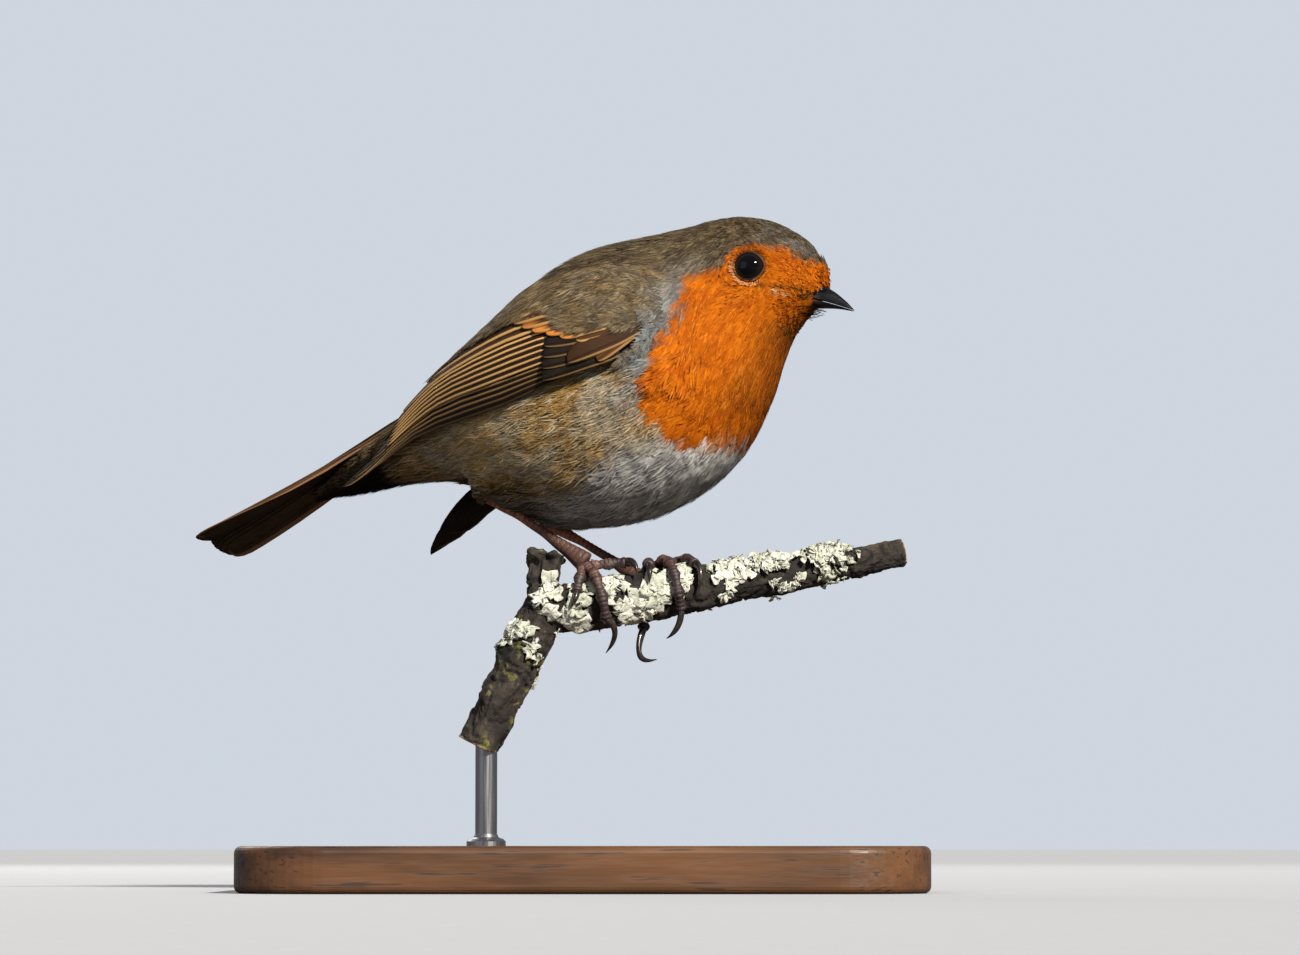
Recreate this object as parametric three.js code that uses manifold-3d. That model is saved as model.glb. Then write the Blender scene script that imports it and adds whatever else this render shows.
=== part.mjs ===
// A life-size European robin gripping a short cut length of lichened branch, on a plain display stand.
// Millimetres, +Z up. The origin is the centre of the stand's underside, and the bird looks along +X,
// turned a little towards -Y. Left and right are the bird's own.
import * as THREE from "three";
import { mergeVertices } from "three/addons/utils/BufferGeometryUtils.js";
import Module from "manifold-3d";

const wasm = await Module();
wasm.setup();

// ---------------------------------------------------------------- driving dimensions
const GAP = 0.3; // clearance between pieces that touch
const FACET_SLACK = 0.08; // how far a finished piece may be flattened to spare facets
const BODY_CENTRE = [2.6, 0, 86]; // the middle of the trunk, above the stand's underside
const BODY_YAW = THREE.MathUtils.degToRad(-25); // the bird's midplane, turned from +X

const EYE_CENTRE = [31.9, 6.5, 20.9]; // in the bird's own frame, on its left
const EYE_RADIUS = 3.1;

const TARSUS_RADIUS = 0.95;
const TOE_RADIUS = 0.95;
const CLAW_RADIUS = 0.62;

const TAIL_ROOT = [-28, 0, 1.5];
const TAIL_TIP = [-80.2, 0, -24.6];
const TAIL_ROLL = THREE.MathUtils.degToRad(10); // its right edge is carried a little high

const WING_DROOP = THREE.MathUtils.degToRad(4); // the left wing hangs a little lower than the right
const WING_SPREAD = THREE.MathUtils.degToRad(3); // and stands off the flank
const TIP_DROOP = THREE.MathUtils.degToRad(8); // and its primaries have slipped out below
const TIP_SPREAD = THREE.MathUtils.degToRad(2.5);

const BASE_SIZE = [118, 78, 8];
const BASE_CORNER = 16;
const BASE_CHAMFER = 1.2;
const ROD_RADIUS = 1.9;
const ROD_FOOT_DEPTH = 5; // how far the rod is let into the base
const ROD_HEAD_DEPTH = 4.5; // and into the branch
const ROD_INSET = 1.4; // from the middle of the branch's cut end, because the branch slants and the rod doesn't

// ---------------------------------------------------------------- small helpers
const point = (xyz) => new THREE.Vector3(...xyz);
const mix = THREE.MathUtils.lerp;

function curveThrough(points) {
  return new THREE.CatmullRomCurve3(points.map(point), false, "centripetal");
}

// A number that runs smoothly through a list of values as t goes from 0 to 1.
function valueAlong(values, t) {
  const at = t * (values.length - 1);
  const i = Math.min(Math.floor(at), values.length - 2);
  const before = values[Math.max(i - 1, 0)];
  const after = values[Math.min(i + 2, values.length - 1)];
  const u = at - i;
  const slopeA = (values[i + 1] - before) / 2;
  const slopeB = (after - values[i]) / 2;
  const u2 = u * u;
  const u3 = u2 * u;
  return (
    (2 * u3 - 3 * u2 + 1) * values[i] +
    (u3 - 2 * u2 + u) * slopeA +
    (3 * u2 - 2 * u3) * values[i + 1] +
    (u3 - u2) * slopeB
  );
}

// A closed skin over rings of points, each ring with the same count, with a fan over each end.
function loft(rings) {
  const count = rings[0].length;
  const vertices = [];
  const faces = [];
  rings.forEach((ring) => ring.forEach((p) => vertices.push(p.x, p.y, p.z)));
  for (let r = 0; r < rings.length - 1; r++) {
    for (let i = 0; i < count; i++) {
      const a = r * count + i;
      const b = r * count + ((i + 1) % count);
      faces.push(a, b, a + count, b, b + count, a + count);
    }
  }
  [0, rings.length - 1].forEach((r) => {
    const middle = new THREE.Vector3();
    rings[r].forEach((p) => middle.addScaledVector(p, 1 / count));
    const hub = vertices.length / 3;
    vertices.push(middle.x, middle.y, middle.z);
    for (let i = 0; i < count; i++) {
      const a = r * count + i;
      const b = r * count + ((i + 1) % count);
      faces.push(...(r === 0 ? [hub, b, a] : [hub, a, b]));
    }
  });
  const made = new THREE.BufferGeometry();
  made.setAttribute("position", new THREE.Float32BufferAttribute(vertices, 3));
  made.setIndex(faces);
  return made;
}

// A round limb along a smooth path, with its own radius all the way, closed at both ends.
function limb(points, radii, { sides = 10, steps = 12, grow = 0, knobble = () => 0 } = {}) {
  const path = curveThrough(points);
  const frames = path.computeFrenetFrames(steps, false);
  const rings = [];
  for (let s = 0; s <= steps; s++) {
    const centre = path.getPointAt(s / steps);
    const radius = valueAlong(radii, s / steps) + grow;
    const ring = [];
    for (let i = 0; i < sides; i++) {
      const angle = (2 * Math.PI * i) / sides;
      const reach = radius + knobble(s / steps, angle);
      ring.push(
        centre
          .clone()
          .addScaledVector(frames.normals[s], reach * Math.cos(angle))
          .addScaledVector(frames.binormals[s], reach * Math.sin(angle)),
      );
    }
    rings.push(ring);
  }
  return loft(rings);
}

// Any closed geometry as a solid for cutting and joining.
function solid(geometry) {
  const bare = geometry.clone();
  bare.deleteAttribute("normal");
  bare.deleteAttribute("uv");
  const merged = mergeVertices(bare, 1e-4);
  const made = new wasm.Manifold(
    new wasm.Mesh({
      numProp: 3,
      vertProperties: merged.attributes.position.array,
      triVerts: new Uint32Array(merged.index.array),
    }),
  );
  if (made.volume() > 0) return made;
  const turned = new Uint32Array(merged.index.array);
  for (let i = 0; i < turned.length; i += 3) [turned[i], turned[i + 1]] = [turned[i + 1], turned[i]];
  return new wasm.Manifold(
    new wasm.Mesh({ numProp: 3, vertProperties: merged.attributes.position.array, triVerts: turned }),
  );
}

function geometryOf(made) {
  const mesh = made.getMesh();
  const positions = new Float32Array(mesh.numVert * 3);
  for (let i = 0; i < mesh.numVert; i++) {
    positions.set(mesh.vertProperties.subarray(i * mesh.numProp, i * mesh.numProp + 3), i * 3);
  }
  const geometry = new THREE.BufferGeometry();
  geometry.setAttribute("position", new THREE.BufferAttribute(positions, 3));
  geometry.setIndex(new THREE.BufferAttribute(mesh.triVerts, 1));
  geometry.computeVertexNormals();
  return geometry;
}

// The largest single body of a solid, so that a cut leaves no crumbs.
function mainBody(made) {
  return made.decompose().sort((a, b) => b.volume() - a.volume())[0];
}

// ---------------------------------------------------------------- materials
const finish = (color, roughness = 0.85) => new THREE.MeshStandardMaterial({ color, roughness, metalness: 0 });
const MATERIALS = {
  olive: finish(0x6b5a3c),
  rust: finish(0xd96a1a),
  belly: finish(0xb9b3a6),
  flight: finish(0x5a4632),
  bill: finish(0x17161a, 0.35),
  eye: finish(0x050506, 0.05),
  scutes: finish(0x6b4038, 0.5),
  claw: finish(0x241d1f, 0.4),
  bark: finish(0x54452f, 0.9),
  lichen: finish(0xc9cfae, 0.95),
  base: finish(0x3a2c22, 0.5),
  rod: new THREE.MeshStandardMaterial({ color: 0x8f8f92, roughness: 0.35, metalness: 1 }),
};

const robin = new THREE.Group();
const bird = new THREE.Group(); // everything that is easiest in the bird's own frame
bird.position.set(...BODY_CENTRE);
bird.rotation.z = BODY_YAW;
robin.add(bird);

function place(group, name, made, material) {
  const mesh = new THREE.Mesh(geometryOf(mainBody(made.simplify(FACET_SLACK))), MATERIALS[material]);
  mesh.name = name;
  group.add(mesh);
  return mesh;
}

// ---------------------------------------------------------------- head, neck and trunk
// Stations from the undertail to the face: the top and bottom of the midplane, [x, z], and the half width.
const BODY_STATIONS = [
  { top: [-54.0, -12.6], bottom: [-53.0, -15.4], half: 2.4 },
  { top: [-42.1, -4.6], bottom: [-42.0, -13.9], half: 6.0 },
  { top: [-31.7, 2.4], bottom: [-30.6, -13.2], half: 10.0 },
  { top: [-23.5, 9.4], bottom: [-21.3, -15.6], half: 14.5 },
  { top: [-15.8, 16.6], bottom: [-12.1, -20.6], half: 18.5 },
  { top: [-8.1, 22.2], bottom: [-2.0, -22.6], half: 21.2 },
  { top: [-1.0, 25.3], bottom: [8.0, -21.6], half: 21.8 },
  { top: [5.0, 26.9], bottom: [17.4, -17.6], half: 20.4 },
  { top: [10.0, 27.9], bottom: [25.8, -11.3], half: 17.4 },
  { top: [14.5, 28.8], bottom: [31.3, -3.2], half: 13.8 },
  { top: [18.5, 29.9], bottom: [34.0, 4.2], half: 11.2 },
  { top: [22.4, 30.8], bottom: [36.0, 8.8], half: 9.7 },
  { top: [27.0, 31.1], bottom: [37.9, 11.6], half: 8.5 },
  { top: [32.2, 30.3], bottom: [39.5, 13.0], half: 7.4 },
  { top: [37.0, 28.0], bottom: [40.4, 13.9], half: 6.1 },
  { top: [40.6, 25.2], bottom: [41.6, 14.5], half: 4.6 },
  { top: [43.0, 21.9], bottom: [42.6, 16.0], half: 2.8 },
];
const BODY_RINGS = 24;
const BODY_SIDES = 24;
const PLUMPNESS = 2.25; // a little squarer than an ellipse

function bodySection(t, grow = 0) {
  const along = (pick) => valueAlong(BODY_STATIONS.map(pick), t);
  const top = new THREE.Vector3(along((s) => s.top[0]), 0, along((s) => s.top[1]));
  const bottom = new THREE.Vector3(along((s) => s.bottom[0]), 0, along((s) => s.bottom[1]));
  const middle = top.clone().lerp(bottom, 0.5);
  const up = top.clone().sub(bottom);
  const halfHeight = up.length() / 2 + grow;
  up.normalize();
  const halfWidth = along((s) => s.half) + grow;
  const ring = [];
  for (let i = 0; i < BODY_SIDES; i++) {
    const angle = (2 * Math.PI * i) / BODY_SIDES;
    const power = (v) => Math.sign(v) * Math.abs(v) ** (2 / PLUMPNESS);
    const p = middle.clone().addScaledVector(up, halfHeight * power(Math.sin(angle)));
    p.y = halfWidth * power(Math.cos(angle));
    ring.push(p);
  }
  return ring;
}

function bodyLoft(grow = 0) {
  const rings = [];
  for (let r = 0; r <= BODY_RINGS; r++) rings.push(bodySection(r / BODY_RINGS, grow));
  return solid(loft(rings));
}

const body = bodyLoft();
const bodyWithGap = bodyLoft(GAP);

// Thin cuts across the midplane line from a top point to a bottom point part the body.
function cutPlane([topX, topZ], [bottomX, bottomZ]) {
  const along = new THREE.Vector3(bottomX - topX, 0, bottomZ - topZ).normalize();
  const normal = new THREE.Vector3(-along.z, 0, along.x); // towards the face
  const offset = normal.x * topX + normal.z * topZ;
  return { normal, offset };
}
const keepAhead = (made, cut) => made.trimByPlane(cut.normal.toArray(), cut.offset + GAP / 2);
const keepBehind = (made, cut) => made.trimByPlane(cut.normal.clone().negate().toArray(), -(cut.offset - GAP / 2));

const headCut = cutPlane([18.5, 30], [36, 8]);
const neckCut = cutPlane([8.5, 27], [31, -5]);

// ---------------------------------------------------------------- bill
// Each mandible: the height of its outer edge over the gape line, from the base to the tip.
const BILL = {
  base: [39.6, 16.2],
  tip: [48.4, 13.7],
  upper: [2.0, 2.2, 2.4, 2.45, 2.3, 2.0, 1.5, 0.85, 0.14],
  lower: [1.9, 1.85, 1.75, 1.5, 1.15, 0.8, 0.5, 0.3, 0.1],
  halfWidth: [2.7, 2.5, 2.2, 1.85, 1.5, 1.15, 0.8, 0.5, 0.14],
  slit: 0.04,
};

function mandible(isUpper) {
  const steps = 12;
  const sides = 10;
  const rings = [];
  for (let s = 0; s <= steps; s++) {
    const t = s / steps;
    const x = mix(BILL.base[0], BILL.tip[0], t);
    const gape = mix(BILL.base[1], BILL.tip[1], t) - 0.35 * t * t * t;
    const height = valueAlong(isUpper ? BILL.upper : BILL.lower, t);
    const width = valueAlong(BILL.halfWidth, t) * (isUpper ? 1 : 0.92);
    const ring = [];
    for (let i = 0; i <= sides; i++) {
      const angle = (Math.PI * i) / sides;
      const rise = height * Math.sin(angle) ** 0.85;
      const z = isUpper ? gape + BILL.slit + rise : gape - BILL.slit - rise;
      ring.push(new THREE.Vector3(x, width * Math.cos(angle), z));
    }
    rings.push(ring);
  }
  return solid(loft(rings));
}
const billUpper = mandible(true);
const billLower = mandible(false);

// ---------------------------------------------------------------- eyes
function eyeball(side, radius) {
  const ball = new THREE.IcosahedronGeometry(radius, 2);
  return solid(ball.translate(EYE_CENTRE[0], side * EYE_CENTRE[1], EYE_CENTRE[2]));
}

// ---------------------------------------------------------------- wings
// Stations from the bend of the wing to its tip: the lower edge, the bulge and the upper edge of the outer
// surface, for the right wing, and the thickness. The bird's own frame.
const WING_STATIONS = [
  { lower: [20.4, -17.6, 8.5], bulge: [20.4, -17.4, 13.5], upper: [18.4, -15.4, 18.5], thick: 1.6 },
  { lower: [15.8, -21.8, 4.6], bulge: [14.0, -21.0, 12.5], upper: [12.5, -16.4, 20.8], thick: 2.6 },
  { lower: [8.2, -24.2, 1.8], bulge: [6.0, -23.4, 11.2], upper: [4.0, -15.6, 21.9], thick: 3.0 },
  { lower: [-0.8, -24.2, -1.2], bulge: [-4.0, -23.0, 9.6], upper: [-7.5, -12.8, 20.9], thick: 3.0 },
  { lower: [-11.3, -22.2, -4.6], bulge: [-15.0, -19.8, 6.6], upper: [-17.0, -8.4, 17.0], thick: 2.8 },
  { lower: [-22.5, -18.0, -7.4], bulge: [-26.0, -14.8, 2.0], upper: [-27.5, -4.6, 8.8], thick: 2.2 },
  { lower: [-32.7, -13.8, -10.0], bulge: [-35.0, -10.4, -4.4], upper: [-37.0, -3.0, -0.8], thick: 1.5 },
  { lower: [-40.2, -11.0, -12.8], bulge: [-41.2, -8.6, -10.2], upper: [-42.0, -5.4, -8.4], thick: 1.0 },
  { lower: [-46.4, -9.0, -15.4], bulge: [-46.6, -8.6, -14.8], upper: [-46.7, -8.2, -14.2], thick: 0.6 },
];
const WING_RINGS = 18;
const WING_SIDES = 5; // across the outer surface, and again across the inner
const SHOULDER = [16, 17, 14]; // where the left wing turns
const PRIMARY_ROOT = [0, 25, -1]; // where its primaries turn

function wingRing(t) {
  const along = (pick) => valueAlong(WING_STATIONS.map(pick), t);
  const three = (key) => new THREE.Vector3(...[0, 1, 2].map((k) => along((s) => s[key][k])));
  const thick = along((s) => s.thick);
  const lower = three("lower");
  const bulge = three("bulge");
  const upper = three("upper");
  const arc = new THREE.QuadraticBezierCurve3(
    lower,
    bulge.clone().multiplyScalar(2).addScaledVector(lower, -0.5).addScaledVector(upper, -0.5),
    upper,
  );
  const chord = upper.clone().sub(lower).normalize();
  const inward = new THREE.Vector3(0, 1, 0).addScaledVector(chord, -chord.y).normalize();
  const outer = [];
  const inner = [];
  for (let i = 0; i <= WING_SIDES; i++) {
    const p = arc.getPoint(i / WING_SIDES);
    const depth = thick * (0.35 + 0.65 * Math.sin((Math.PI * i) / WING_SIDES));
    outer.push(p);
    inner.unshift(p.clone().addScaledVector(inward, depth));
  }
  return [...outer, ...inner];
}

function wingSolid() {
  const rings = [];
  for (let r = 0; r <= WING_RINGS; r++) rings.push(wingRing(r / WING_RINGS));
  return solid(loft(rings));
}

// The left wing is the right one mirrored, then let down and out from the shoulder.
function turnAbout([x, y, z], droop, spread) {
  return new THREE.Matrix4()
    .makeTranslation(x, y, z)
    .multiply(new THREE.Matrix4().makeRotationZ(-spread))
    .multiply(new THREE.Matrix4().makeRotationY(-droop))
    .multiply(new THREE.Matrix4().makeTranslation(-x, -y, -z));
}
function asLeftWing(made, isTip = false) {
  const turn = turnAbout(SHOULDER, WING_DROOP, WING_SPREAD).multiply(new THREE.Matrix4().makeScale(1, -1, 1));
  if (isTip) turn.premultiply(turnAbout(PRIMARY_ROOT, TIP_DROOP, TIP_SPREAD));
  return made.transform(turn.toArray());
}

// A solid with about the usual gap all round, for cutting its neighbour.
function grown(made) {
  let all = made;
  for (const [x, y, z] of [[1, 0, 0], [-1, 0, 0], [0, 1, 0], [0, -1, 0], [0, 0, 1], [0, 0, -1]]) {
    all = all.add(made.translate([x * GAP, y * GAP, z * GAP]));
  }
  return all;
}

// Coverts ahead, then secondaries above and primaries below.
const covertCut = cutPlane([-3.5, 20], [2.4, 0]);
function primaryCut() {
  // a plane along the wing from the greater coverts to the rear edge, tilted with the flank
  const a = point([0, -23, 1.4]);
  const b = point([-42.5, -7, -9.4]);
  const outward = point([-20, -40, -2]);
  const normal = b.clone().sub(a).cross(outward.sub(a)).normalize();
  if (normal.z < 0) normal.negate();
  return { normal, offset: normal.dot(a) };
}

function wingPieces() {
  const whole = wingSolid().subtract(bodyWithGap);
  const upperCut = primaryCut();
  const coverts = mainBody(keepAhead(whole, covertCut));
  const rear = keepBehind(whole, covertCut);
  return {
    coverts,
    secondaries: mainBody(keepAhead(rear, upperCut)),
    primaries: mainBody(keepBehind(rear, upperCut)),
  };
}

// ---------------------------------------------------------------- tail
// A closed fan of feathers, tented a little along the middle and shallowly notched at the tip.
const TAIL_HALF = [3.6, 4.2, 4.8, 5.4, 6.0, 6.4, 6.6, 6.4];
const TAIL_THICK = [2.6, 2.6, 2.4, 2.2, 2.0, 1.7, 1.3, 0.9];
const TAIL_TENT = 1.1;
const TAIL_NOTCH = 3.0;

function tailSolid() {
  const steps = 9;
  const sides = 6;
  const root = point(TAIL_ROOT);
  const axis = point(TAIL_TIP).sub(root);
  const length = axis.length();
  axis.normalize();
  const side = new THREE.Vector3(0, 1, 0).applyAxisAngle(axis, TAIL_ROLL);
  const up = side.clone().cross(axis).normalize();
  if (up.z < 0) up.negate();
  const rings = [];
  for (let s = 0; s <= steps; s++) {
    const t = s / steps;
    const half = valueAlong(TAIL_HALF, t);
    const thick = valueAlong(TAIL_THICK, t);
    const over = [];
    const under = [];
    for (let i = 0; i <= sides; i++) {
      const across = -1 + (2 * i) / sides;
      const notch = TAIL_NOTCH * t ** 6 * (1 - Math.abs(across)) + 2.2 * t ** 8 * Math.abs(across) ** 5;
      const top = root
        .clone()
        .addScaledVector(axis, length * t - notch)
        .addScaledVector(side, half * across)
        .addScaledVector(up, thick / 2 - TAIL_TENT * across * across - 1.2 * Math.sin(Math.PI * t));
      over.push(top);
      under.unshift(top.clone().addScaledVector(up, -thick * (1 - 0.6 * across ** 4)));
    }
    rings.push([...over, ...under]);
  }
  return solid(loft(rings));
}

// ---------------------------------------------------------------- perch
const TWIG = {
  path: [
    [-6.8, -6.0, 49.6], [-1.6, -5.7, 49.4], [2.7, -5.3, 50.1], [9.7, -4.3, 51.2], [20.1, -2.4, 52.9],
    [30.7, -0.4, 54.5], [43, 2, 56.9], [56, 4.6, 59.6],
  ],
  radii: [4.0, 4.5, 4.5, 4.1, 3.4, 3.1, 2.8, 2.5],
};
const BOUGH = {
  path: [[-6.8, -6.0, 50.8], [-9.2, -5.8, 44.1], [-12.7, -5.4, 37.5], [-16.0, -5.0, 30.6], [-18.4, -4.6, 25.4]],
  radii: [3.4, 4.2, 3.9, 3.8, 4.0],
};
const STUB = {
  path: [[-7.0, -6.0, 48.8], [-7.4, -5.9, 53.2], [-6.5, -5.6, 58.7]],
  radii: [3.2, 2.7, 3.2],
};
// Rings and swellings where buds and side shoots were.
const knots = (t, angle) => 0.16 * Math.sin(3 * angle + 9 * t) + 0.2 * Math.sin(26 * t) * Math.cos(angle + 5 * t);

function perchSolid(grow = 0) {
  const twig = solid(limb(TWIG.path, TWIG.radii, { sides: 10, steps: 20, grow, knobble: knots }));
  const bough = solid(limb(BOUGH.path, BOUGH.radii, { sides: 10, steps: 8, grow, knobble: knots }));
  const stub = solid(limb(STUB.path, STUB.radii, { sides: 10, steps: 4, grow, knobble: knots }));
  return twig.add(bough).add(stub);
}

// ---------------------------------------------------------------- legs and feet
// Toes are placed on the twig: each goes from one place to another, a place being how far along +X, how many
// degrees round from the top of the bark (positive on the -Y side), and how far off it. A claw bends from the
// toe's end past its bow to its tip.
const FEET = {
  right: {
    heel: [-19.1, 0.6, 70.4],
    root: [0.3, -6.1, 57.1],
    toes: {
      hind: { from: [0.4, -4, 2.4], to: [1.9, -85, 0.9], bow: [2.2, -118, 2.2], tip: [2.7, -156, 1.0] },
      inner: { from: [1.2, 8, 2.2], to: [7.2, 17, 2.0], bow: [9.1, 29, 2.9], tip: [9.2, 52, 1.3] },
      middle: { from: [0.6, 12, 2.2], to: [3.8, 121, 1.2], bow: [6.9, 141, 2.8], tip: [3.7, 163, 4.9] },
      outer: { from: [-0.1, 9, 2.2], to: [-1.2, 64, 0.9], bow: [-1.5, 84, 1.7], tip: [-2.4, 94, 0.9] },
    },
  },
  left: {
    heel: [-7.6, 11.2, 65.7],
    root: [10.8, 1.0, 54.0],
    toes: {
      hind: { from: [10.6, -78, 1.6], to: [10.3, -158, 1.2], bow: [7.8, -178, 7.4], tip: [12.7, -188, 7.0] },
      inner: { from: [10.9, -62, 1.5], to: [11.2, 28, 1.1], bow: [11.5, 46, 2.4], tip: [11.3, 70, 0.9] },
      middle: { from: [11.2, -64, 1.5], to: [16.8, 128, 1.2], bow: [16.9, 145, 4.2], tip: [14.2, 160, 4.2] },
      outer: { from: [11.6, -66, 1.5], to: [19.2, 38, 1.0], bow: [20.8, 54, 2.2], tip: [19.8, 100, 1.4] },
    },
  },
};
// The feathered thighs, in the bird's own frame, from inside the flank to the heel, and from the heel to where
// the feathers end on the bare shank.
const THIGHS = {
  right: { path: [[-7, -9.5, -6], [-14.0, -9.6, -12.0], [-19.4, -8.8, -16.0]], cuff: [-16.4, -8.7, -17.4] },
  left: { path: [[-3, 8, -11], [-9.4, 7.0, -16.4], [-14.0, 5.9, -20.0]], cuff: [-11.4, 5.0, -21.1] },
};
const THIGH_RADII = [5.6, 5.0, 2.6];
const CUFF_RADII = [2.4, 1.6];
const THIGH_SLEEVE = 1.6; // how far outside each thigh its parting from the trunk runs

const twigAxis = curveThrough(TWIG.path);
function onBark([x, degrees, off]) {
  let [low, high] = [0, 1];
  for (let i = 0; i < 24; i++) {
    const half = (low + high) / 2;
    if (twigAxis.getPointAt(half).x < x) low = half;
    else high = half;
  }
  const centre = twigAxis.getPointAt(low);
  const angle = THREE.MathUtils.degToRad(degrees);
  const reach = valueAlong(TWIG.radii, low) + off;
  return [centre.x, centre.y - reach * Math.sin(angle), centre.z + reach * Math.cos(angle)];
}

function toePath({ from, to }) {
  const count = 2 + Math.ceil(Math.abs(to[1] - from[1]) / 40);
  const places = [];
  for (let i = 0; i <= count; i++) {
    const u = i / count;
    const ease = u + 0.6 * u * (1 - u); // it spreads sideways first, then bends down
    places.push([mix(from[0], to[0], ease), mix(from[1], to[1], u), mix(from[2], to[2], ease)]);
  }
  return places.map(onBark);
}

function toeSolid(toe, grow = 0) {
  const path = toePath(toe);
  const pads = (t) => 0.12 * Math.cos(2 * Math.PI * t * (path.length - 1));
  const radii = [1.2, 1, 1, 0.92].map((k) => k * TOE_RADIUS);
  return solid(limb(path, radii, { sides: 6, steps: 2 * path.length, grow, knobble: pads }));
}

function clawSolid({ to, bow, tip }, grow = 0) {
  const arc = new THREE.QuadraticBezierCurve3(...[to, bow, tip].map(onBark).map(point));
  const path = arc.getPoints(4).map((p) => p.toArray());
  return solid(limb(path, [1, 0.85, 0.55, 0.16].map((k) => k * CLAW_RADIUS), { sides: 6, steps: 5, grow }));
}

function tarsusSolid(foot, grow = 0) {
  const radii = [1.35, 1.0, 0.95, 1.0, 1.25, 1.6].map((k) => k * TARSUS_RADIUS);
  return solid(limb([foot.heel, foot.root], radii, { sides: 8, steps: 7, grow }));
}

const thighSolid = ({ path }, grow = 0) => solid(limb(path, THIGH_RADII, { sides: 10, steps: 6, grow }));
const cuffSolid = ({ path, cuff }, grow = 0) => solid(limb([path.at(-1), cuff], CUFF_RADII, { steps: 2, grow }));

// ---------------------------------------------------------------- lichen on the branch
// Crusts a little proud of the bark, each where a ball around a point of the branch meets its surface.
const LICHEN = [
  { at: [-11.5, -9.0, 45.5], reach: 4.0 },
  { at: [-2.8, -10.0, 47.6], reach: 4.0 },
  { at: [9.6, -9.0, 50.2], reach: 4.6 },
  { at: [25.5, -4.0, 55.4], reach: 5.2 },
  { at: [42.6, -0.2, 58.0], reach: 5.4 },
];
const LICHEN_DEPTH = 1.2;
const LICHEN_LOBES = 0.22;

function lobedBall(reach, phase) {
  const ball = new THREE.IcosahedronGeometry(reach, 1);
  const place = ball.attributes.position;
  for (let i = 0; i < place.count; i++) {
    const p = new THREE.Vector3().fromBufferAttribute(place, i);
    const lobes = Math.sin(3 * Math.atan2(p.z, p.x) + phase) * Math.sin(p.x + 2 * phase);
    p.multiplyScalar(1 + LICHEN_LOBES * lobes);
    place.setXYZ(i, p.x, p.y, p.z);
  }
  return solid(ball);
}

// ---------------------------------------------------------------- stand
function baseSolid() {
  const [length, width, height] = BASE_SIZE;
  const [x, y, r] = [length / 2 - BASE_CHAMFER, width / 2 - BASE_CHAMFER, BASE_CORNER];
  const outline = new THREE.Shape();
  outline.moveTo(-x + r, -y);
  outline.lineTo(x - r, -y);
  outline.absarc(x - r, -y + r, r, -Math.PI / 2, 0);
  outline.lineTo(x, y - r);
  outline.absarc(x - r, y - r, r, 0, Math.PI / 2);
  outline.lineTo(-x + r, y);
  outline.absarc(-x + r, y - r, r, Math.PI / 2, Math.PI);
  outline.lineTo(-x, -y + r);
  outline.absarc(-x + r, -y + r, r, Math.PI, 1.5 * Math.PI);
  const slab = new THREE.ExtrudeGeometry(outline, {
    depth: height - 2 * BASE_CHAMFER,
    bevelThickness: BASE_CHAMFER,
    bevelSize: BASE_CHAMFER,
    bevelSegments: 1,
    curveSegments: 4,
  });
  return solid(slab.translate(0, 0, BASE_CHAMFER));
}

function rodSolid(grow = 0) {
  const [x, y, z] = BOUGH.path.at(-1);
  const bottom = BASE_SIZE[2] - ROD_FOOT_DEPTH - grow;
  const top = z + ROD_HEAD_DEPTH + grow;
  const rod = new THREE.CylinderGeometry(ROD_RADIUS + grow, ROD_RADIUS + grow, top - bottom, 16);
  rod.rotateX(Math.PI / 2).translate(x + ROD_INSET, y, (top + bottom) / 2);
  return solid(rod);
}

// ---------------------------------------------------------------- assembly
const wing = wingPieces();
const leftCoverts = asLeftWing(wing.coverts);
const leftPrimaries = asLeftWing(wing.primaries, true);
const leftWing = {
  coverts: leftCoverts,
  secondaries: asLeftWing(wing.secondaries),
  primaries: leftPrimaries.subtract(grown(leftCoverts)).subtract(grown(asLeftWing(wing.secondaries))),
};
for (const name of Object.keys(leftWing)) leftWing[name] = mainBody(leftWing[name].subtract(bodyWithGap));
const tailRaw = tailSolid().subtract(bodyWithGap);
const wingRoom = wingSolid();
const tail = mainBody(tailRaw.subtract(wingRoom).subtract(asLeftWing(wingRoom)).subtract(grown(leftWing.primaries)));
// A solid of the bird, seen in the stand's frame, and the other way round.
const birdToStand = new THREE.Matrix4().makeRotationZ(BODY_YAW).setPosition(...BODY_CENTRE);
const standToBird = birdToStand.clone().invert();
const inBird = (made) => made.transform(standToBird.toArray());

const eyeRoom = [1, -1].map((side) => eyeball(side, EYE_RADIUS + 0.1));
const billRoom = solid(
  limb([[38, 0, 16.7], [43, 0, 16.0], [49, 0, 13.9]], [3.0, 2.8, 1.6], { sides: 16, steps: 6 }),
);
const head = mainBody(keepAhead(body, headCut))
  .subtract(eyeRoom[0])
  .subtract(eyeRoom[1])
  .subtract(billRoom);
place(bird, "head", mainBody(head), "rust");
place(bird, "bill_upper", billUpper, "bill");
place(bird, "bill_lower", billLower, "bill");
place(bird, "eye_left", eyeball(1, EYE_RADIUS), "eye");
place(bird, "eye_right", eyeball(-1, EYE_RADIUS), "eye");
place(bird, "neck", mainBody(keepBehind(keepAhead(body, neckCut), headCut)), "rust");
let trunk = keepBehind(body, neckCut);
for (const thigh of Object.values(THIGHS)) {
  trunk = trunk.subtract(thighSolid(thigh, THIGH_SLEEVE + GAP)).subtract(cuffSolid(thigh, GAP));
}
place(bird, "trunk", mainBody(trunk), "belly");

for (const [piece, made] of Object.entries(wing)) {
  const material = piece === "coverts" ? "olive" : "flight";
  place(bird, `wing_right_${piece}`, made, material);
  place(bird, `wing_left_${piece}`, leftWing[piece], material);
}
place(bird, "tail", tail, "flight");

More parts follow.
